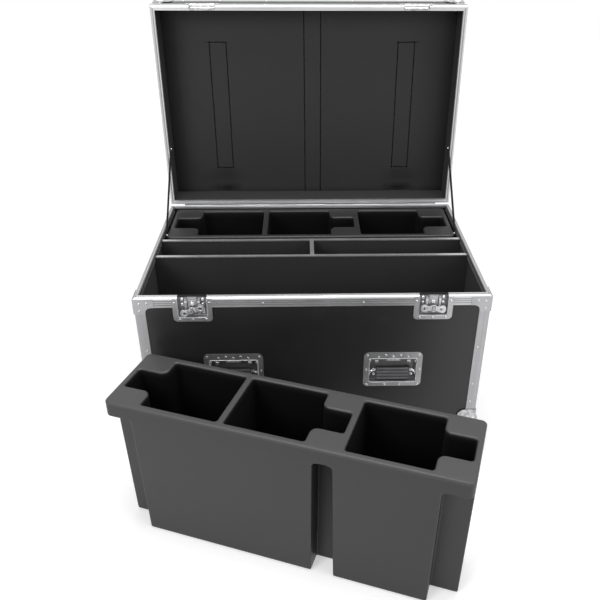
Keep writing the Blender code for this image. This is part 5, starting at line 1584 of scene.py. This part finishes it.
def model_bolt(name, centre, radius, high, axis):
    """A hexagon head with softened edges."""
    head = cylinder(name, centre, radius, high, axis, 6)
    soften(head, radius * 0.12)
    smooth(head)
    return head


class CASE_OT_castors(bpy.types.Operator):
    """Model the castors' wheels, race rings, plate bolts and axle nuts"""
    bl_idname = "case.castors"
    bl_label = "Castors"

    def execute(self, context):
        steel, zinc = ready("wire_steel"), ready("zinc_plate")
        rubber, core = ready("wheel_rubber"), ready("wheel_core")
        for name, sx, sy in CORNERS:
            x, y = sx * CASTOR_X, sy * CASTOR_Y
            axle = (x, y + CASTOR_TRAIL, AXLE_Z)
            wheel = model_wheel("castor_wheel_" + name + "_turned", axle)
            finish_piece(wheel, rubber, "castor_wheel_" + name)
            wheel.data.materials.append(core)
            for face in wheel.data.polygons:
                reach = math.hypot(face.center.y - axle[1], face.center.z - axle[2])
                face.material_index = 1 if reach < CORE_RADIUS else 0
            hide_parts("castor_wheel_" + name)
            self.plate_bolts(name, x, y, steel)
            self.race(name, x, y, zinc)
            nuts = [self.axle_end(x, axle, way) for way in (-1, 1)]
            finish_piece(joined("castor_nuts_" + name, nuts), steel, "castor_fork_" + name)
        return {"FINISHED"}

    def plate_bolts(self, name, x, y, steel):
        parts = []
        for dx in across(0.040):
            for dy in across(0.0325):
                spot = Vector((x + dx, y + dy, PLATE_FOOT))
                washer = cylinder("washer", spot - UP * 0.0005, 0.0070, 0.0010, "Z", 20)
                press(washer, 2, -1, (0.0005, 0.0004))
                parts += [washer, model_bolt("bolt", spot - UP * 0.0028, 0.0058, 0.0040, "Z")]
        bolts = joined("castor_bolts_" + name, parts)
        smooth(bolts, 35.0)
        finish_piece(bolts, steel, "case")

    def race(self, name, x, y, zinc):
        """The pressed ring that holds the swivel's balls, above the fork's crown."""
        ring = cylinder("castor_race_" + name, (x, y, PLATE_FOOT - 0.0058), 0.0345, 0.0050, "Z", 40)
        edit(ring)
        pick_edges(ring, lambda a, b: abs(a.z - b.z) < 0.0001, 60.0)
        round_off(0.0016, 3)
        pick_faces(ring, lambda c, n: n.z < -0.9)
        insets((0.0030, 0.0016))
        done()
        smooth(ring)
        finish_piece(ring, zinc, "castor_fork_" + name)

    def axle_end(self, x, axle, way):
        place = x + way * (0.021 + 0.0027)
        nut = model_bolt("nut", (place, axle[1], axle[2]), 0.0105, 0.0050, "X")
        stud = cylinder("stud", (x + way * 0.0270, axle[1], axle[2]), 0.0050, 0.0030, "X", 20)
        soften(stud, 0.0007)
        smooth(stud)
        return joined("nut", [nut, stud])


# Looks of the nodes that stay


class CASE_OT_finishes(bpy.types.Operator):
    """Give every part that stays as modelled its finish"""
    bl_idname = "case.finishes"
    bl_label = "Finishes"

    def execute(self, context):
        tints = settings()
        wire = plated_look("wire_steel", tints.wire, 0.18, 0.95)
        looks = {
            "laminate": laminate_look("black_laminate", tints.laminate, tints.lining),
            "aluminium": anodised_look("drawn_aluminium", tints.rail),
            "zinc": plated_look("zinc_plate", tints.zinc, 0.40, 0.88),
            "lining": foam_look("lining_board", tints.lining, 900.0, 0.0002),
            "foam": foam_look("foam_skin", tints.tray_foam),
            "grip": rubber_look("grip_rubber", tints.grip, 0.34, (BAIL_Y, 0.0050, 0.0062)),
            "strap": rubber_look("strap_rubber", tints.webbing),
            "wheel": rubber_look("wheel_rubber", tints.wheel),
            "core": rubber_look("wheel_core", tints.core, 0.40),
        }
        rail, angle, in_lid = tints.rail, tints.angle, {"vector_of": shut_place}
        lid_board = laminate_look(
            "lid_laminate", tints.laminate, tints.lid_foam, shut_place, 0.4, 0.5790)
        own = {
            "body_rim": anodised_look("body_rail", rail, seam=BODY_HEIGHT, way=-1, notches=True),
            "lid_rim": anodised_look("lid_rail", rail, seam=LID_BOTTOM, way=1, **in_lid),
            "body_edge_frame": anodised_look("body_strip", angle, posts=(0.029, 0.430)),
            "lid_edge_frame": anodised_look("lid_strip", angle, posts=(0.490, 0.559), **in_lid),
            "lid_panel": lid_board,
            "lid_walls": lid_board,
        }
        corner = plated_look("corner_plate", tints.corner, 0.34, 0.85, 0.0040)
        brace = plated_look("brace_plate", tints.brace, 0.45, 0.8)
        for name, _, _ in CORNERS:
            own["bottom_corner_" + name] = own["lid_corner_" + name] = corner
        own.update({"rim_brace_" + name: brace for name, _ in SIDES})
        for part in frame["record"]["subparts"]:
            look = own.get(part["node"], looks[part["material_slot"]])
            for place in frame["nodes"][part["node"]].material_slots:
                place.material = look
        zinc, pressed = tints.zinc, {"rough": 0.36, "metal": 0.88}
        spare = [
            wire,
            ribbed_look("ribbed_strip", tints.strip),
            # Painted shade in the recesses of the latch and handle dishes.
            plated_look("latch_plate", zinc, recess_shade=(LATCH_FACE + 0.001, LATCH_FACE + 0.006),
                        **pressed),
            plated_look("keeper_plate", tints.wing, lump=0.0035, **pressed),
            plated_look("handle_plate", zinc, recess_shade=(HANDLE_FACE + 0.001, HANDLE_FACE + 0.008),
                        **pressed),
            plated_look("wing_plate", tints.wing, 0.30, 0.85),
        ]
        for look in spare:
            look.use_fake_user = True
        return {"FINISHED"}


# Stage

FLOOR_LIFT = 0.46
RAYS = ("Camera", "Glossy", "Transmission")
WORLD_LEVEL = 0.22
CAMERA_PLACE = (-0.0228, -1.996, 1.4247)
CAMERA_PITCH = math.radians(30.80)
CAMERA_YAW = math.radians(1.694)
CAMERA_ROLL = math.radians(0.3256)
CAMERA_SHIFT = (-0.03823, 0.00945)
LAMP_AIM = Vector((0, -0.1, 0.35))
LAMPS = (
    ("key", (-2.4, -3.2, 2.6), 1.9, 78.0),
    ("fill", (3.0, -2.6, 2.0), 2.4, 38.0),
    ("top", (0.2, -0.2, 3.8), 2.8, 112.0),
)
FOCAL_PIXELS, PHOTO_WIDTH, SENSOR_WIDTH = 694.72, 600, 36.0


def floor_look():
    """A pale floor that keeps its shadow; camera and reflections see it lifted to white."""
    look = Look("studio_floor", 0.9)
    look.shader.inputs["Base Color"].default_value = (0.72, 0.72, 0.72, 1.0)
    look.shader.inputs["Specular IOR Level"].default_value = 0.0
    look.shader.inputs["Emission Strength"].default_value = 1.0
    rays = look.node("ShaderNodeLightPath").socket.node.outputs
    camera, glossy, clear = [Wire(look, rays["Is " + kind + " Ray"]) for kind in RAYS]
    x, y, _ = look.axes()
    far = look.spread((x * x + y * y).power(0.5), 1.2, 5.0, FLOOR_LIFT, 0.9)
    lift = (camera + glossy + clear).held() * far
    look.tree.links.new(look.grey(lift).socket, look.shader.inputs["Emission Color"])
    return look.material


class CASE_OT_stage(bpy.types.Operator):
    """Set up the floor, the lamps, the world and the camera"""
    bl_idname = "case.stage"
    bl_label = "Stage"

    def execute(self, context):
        scene = context.scene
        clear_selection()
        bpy.ops.mesh.primitive_plane_add(size=14, location=(0, 0, FLOOR_Z - 0.0005))
        floor = named("stage_floor")
        floor.data.materials.append(floor_look())
        self.world(scene)
        for lamp in LAMPS:
            self.lamp(*lamp)
        self.camera(scene)
        scene.view_settings.view_transform = "Standard"
        return {"FINISHED"}

    def world(self, scene):
        scene.world = bpy.data.worlds.new("studio")
        scene.world.use_nodes = True
        tree = scene.world.node_tree
        background = tree.nodes["Background"]
        rays = tree.nodes.new("ShaderNodeLightPath").outputs
        seen = rays["Is Camera Ray"]
        for kind in RAYS[1:]:
            either = tree.nodes.new("ShaderNodeMath")
            either.operation = "MAXIMUM"
            tree.links.new(seen, either.inputs[0])
            tree.links.new(rays["Is " + kind + " Ray"], either.inputs[1])
            seen = either.outputs[0]
        strength = tree.nodes.new("ShaderNodeMapRange")
        strength.inputs["To Min"].default_value = WORLD_LEVEL
        strength.inputs["To Max"].default_value = 1.0
        tree.links.new(seen, strength.inputs["Value"])
        tree.links.new(strength.outputs[0], background.inputs["Strength"])
        background.inputs["Color"].default_value = (1.0, 1.0, 1.0, 1.0)

    def lamp(self, name, place, size, power):
        data = bpy.data.lights.new(name, "AREA")
        data.shape = "DISK"
        data.size = size
        data.energy = power
        lamp = bpy.data.objects.new(name, data)
        bpy.context.collection.objects.link(lamp)
        lamp.location = place
        aim = LAMP_AIM - lamp.location
        lamp.rotation_euler = aim.to_track_quat("-Z", "Y").to_euler()

    def camera(self, scene):
        pitch, yaw, roll = CAMERA_PITCH, CAMERA_YAW, CAMERA_ROLL
        flat = Vector((math.sin(yaw), math.cos(yaw), 0))
        forward = flat * math.cos(pitch) - Vector((0, 0, math.sin(pitch)))
        right = Vector((math.cos(yaw), -math.sin(yaw), 0))
        up = right.cross(forward)
        tilted_right = math.cos(roll) * right + math.sin(roll) * up
        tilted_up = math.cos(roll) * up - math.sin(roll) * right
        turn = Matrix((tilted_right, tilted_up, -forward)).transposed().to_4x4()
        data = bpy.data.cameras.new("camera")
        data.sensor_width = SENSOR_WIDTH
        data.lens = FOCAL_PIXELS / PHOTO_WIDTH * SENSOR_WIDTH
        data.shift_x, data.shift_y = CAMERA_SHIFT
        camera = bpy.data.objects.new("camera", data)
        bpy.context.collection.objects.link(camera)
        camera.matrix_world = Matrix.Translation(CAMERA_PLACE) @ turn
        scene.camera = camera


OPERATORS = (
    CASE_OT_finishes,
    CASE_OT_rivets,
    CASE_OT_latches,
    CASE_OT_handles,
    CASE_OT_strips,
    CASE_OT_balls,
    CASE_OT_castors,
    CASE_OT_trays,
    CASE_OT_lining,
    CASE_OT_straps,
    CASE_OT_stage,
)
GROUPS = (
    ("case_colours", CaseColours),
    ("tray_sizes", TraySizes),
    ("lining_sizes", LiningSizes),
    ("hardware_sizes", HardwareSizes),
)


class CASE_PT_panel(bpy.types.Panel):
    """Everything that dresses the case, in the order it is made"""
    bl_label = "Flight Case"
    bl_idname = "CASE_PT_panel"
    bl_space_type = "VIEW_3D"
    bl_region_type = "UI"
    bl_category = "Flight Case"

    def draw(self, context):
        for name, group in GROUPS:
            box = self.layout.box()
            for setting in group.__annotations__:
                box.prop(getattr(context.scene, name), setting)
        for operator in OPERATORS:
            self.layout.operator(operator.bl_idname)


CLASSES = tuple(group for _, group in GROUPS) + OPERATORS + (CASE_PT_panel,)


def register():
    for item in CLASSES:
        bpy.utils.register_class(item)
    for name, group in GROUPS:
        setattr(bpy.types.Scene, name, PointerProperty(type=group))


def unregister():
    for name, _ in GROUPS:
        delattr(bpy.types.Scene, name)
    for item in reversed(CLASSES):
        bpy.utils.unregister_class(item)


def main():
    register()
    for operator in OPERATORS:
        group, name = operator.bl_idname.split(".")
        getattr(getattr(bpy.ops, group), name)()
    clear_selection()


if __name__ == "__main__":
    main()
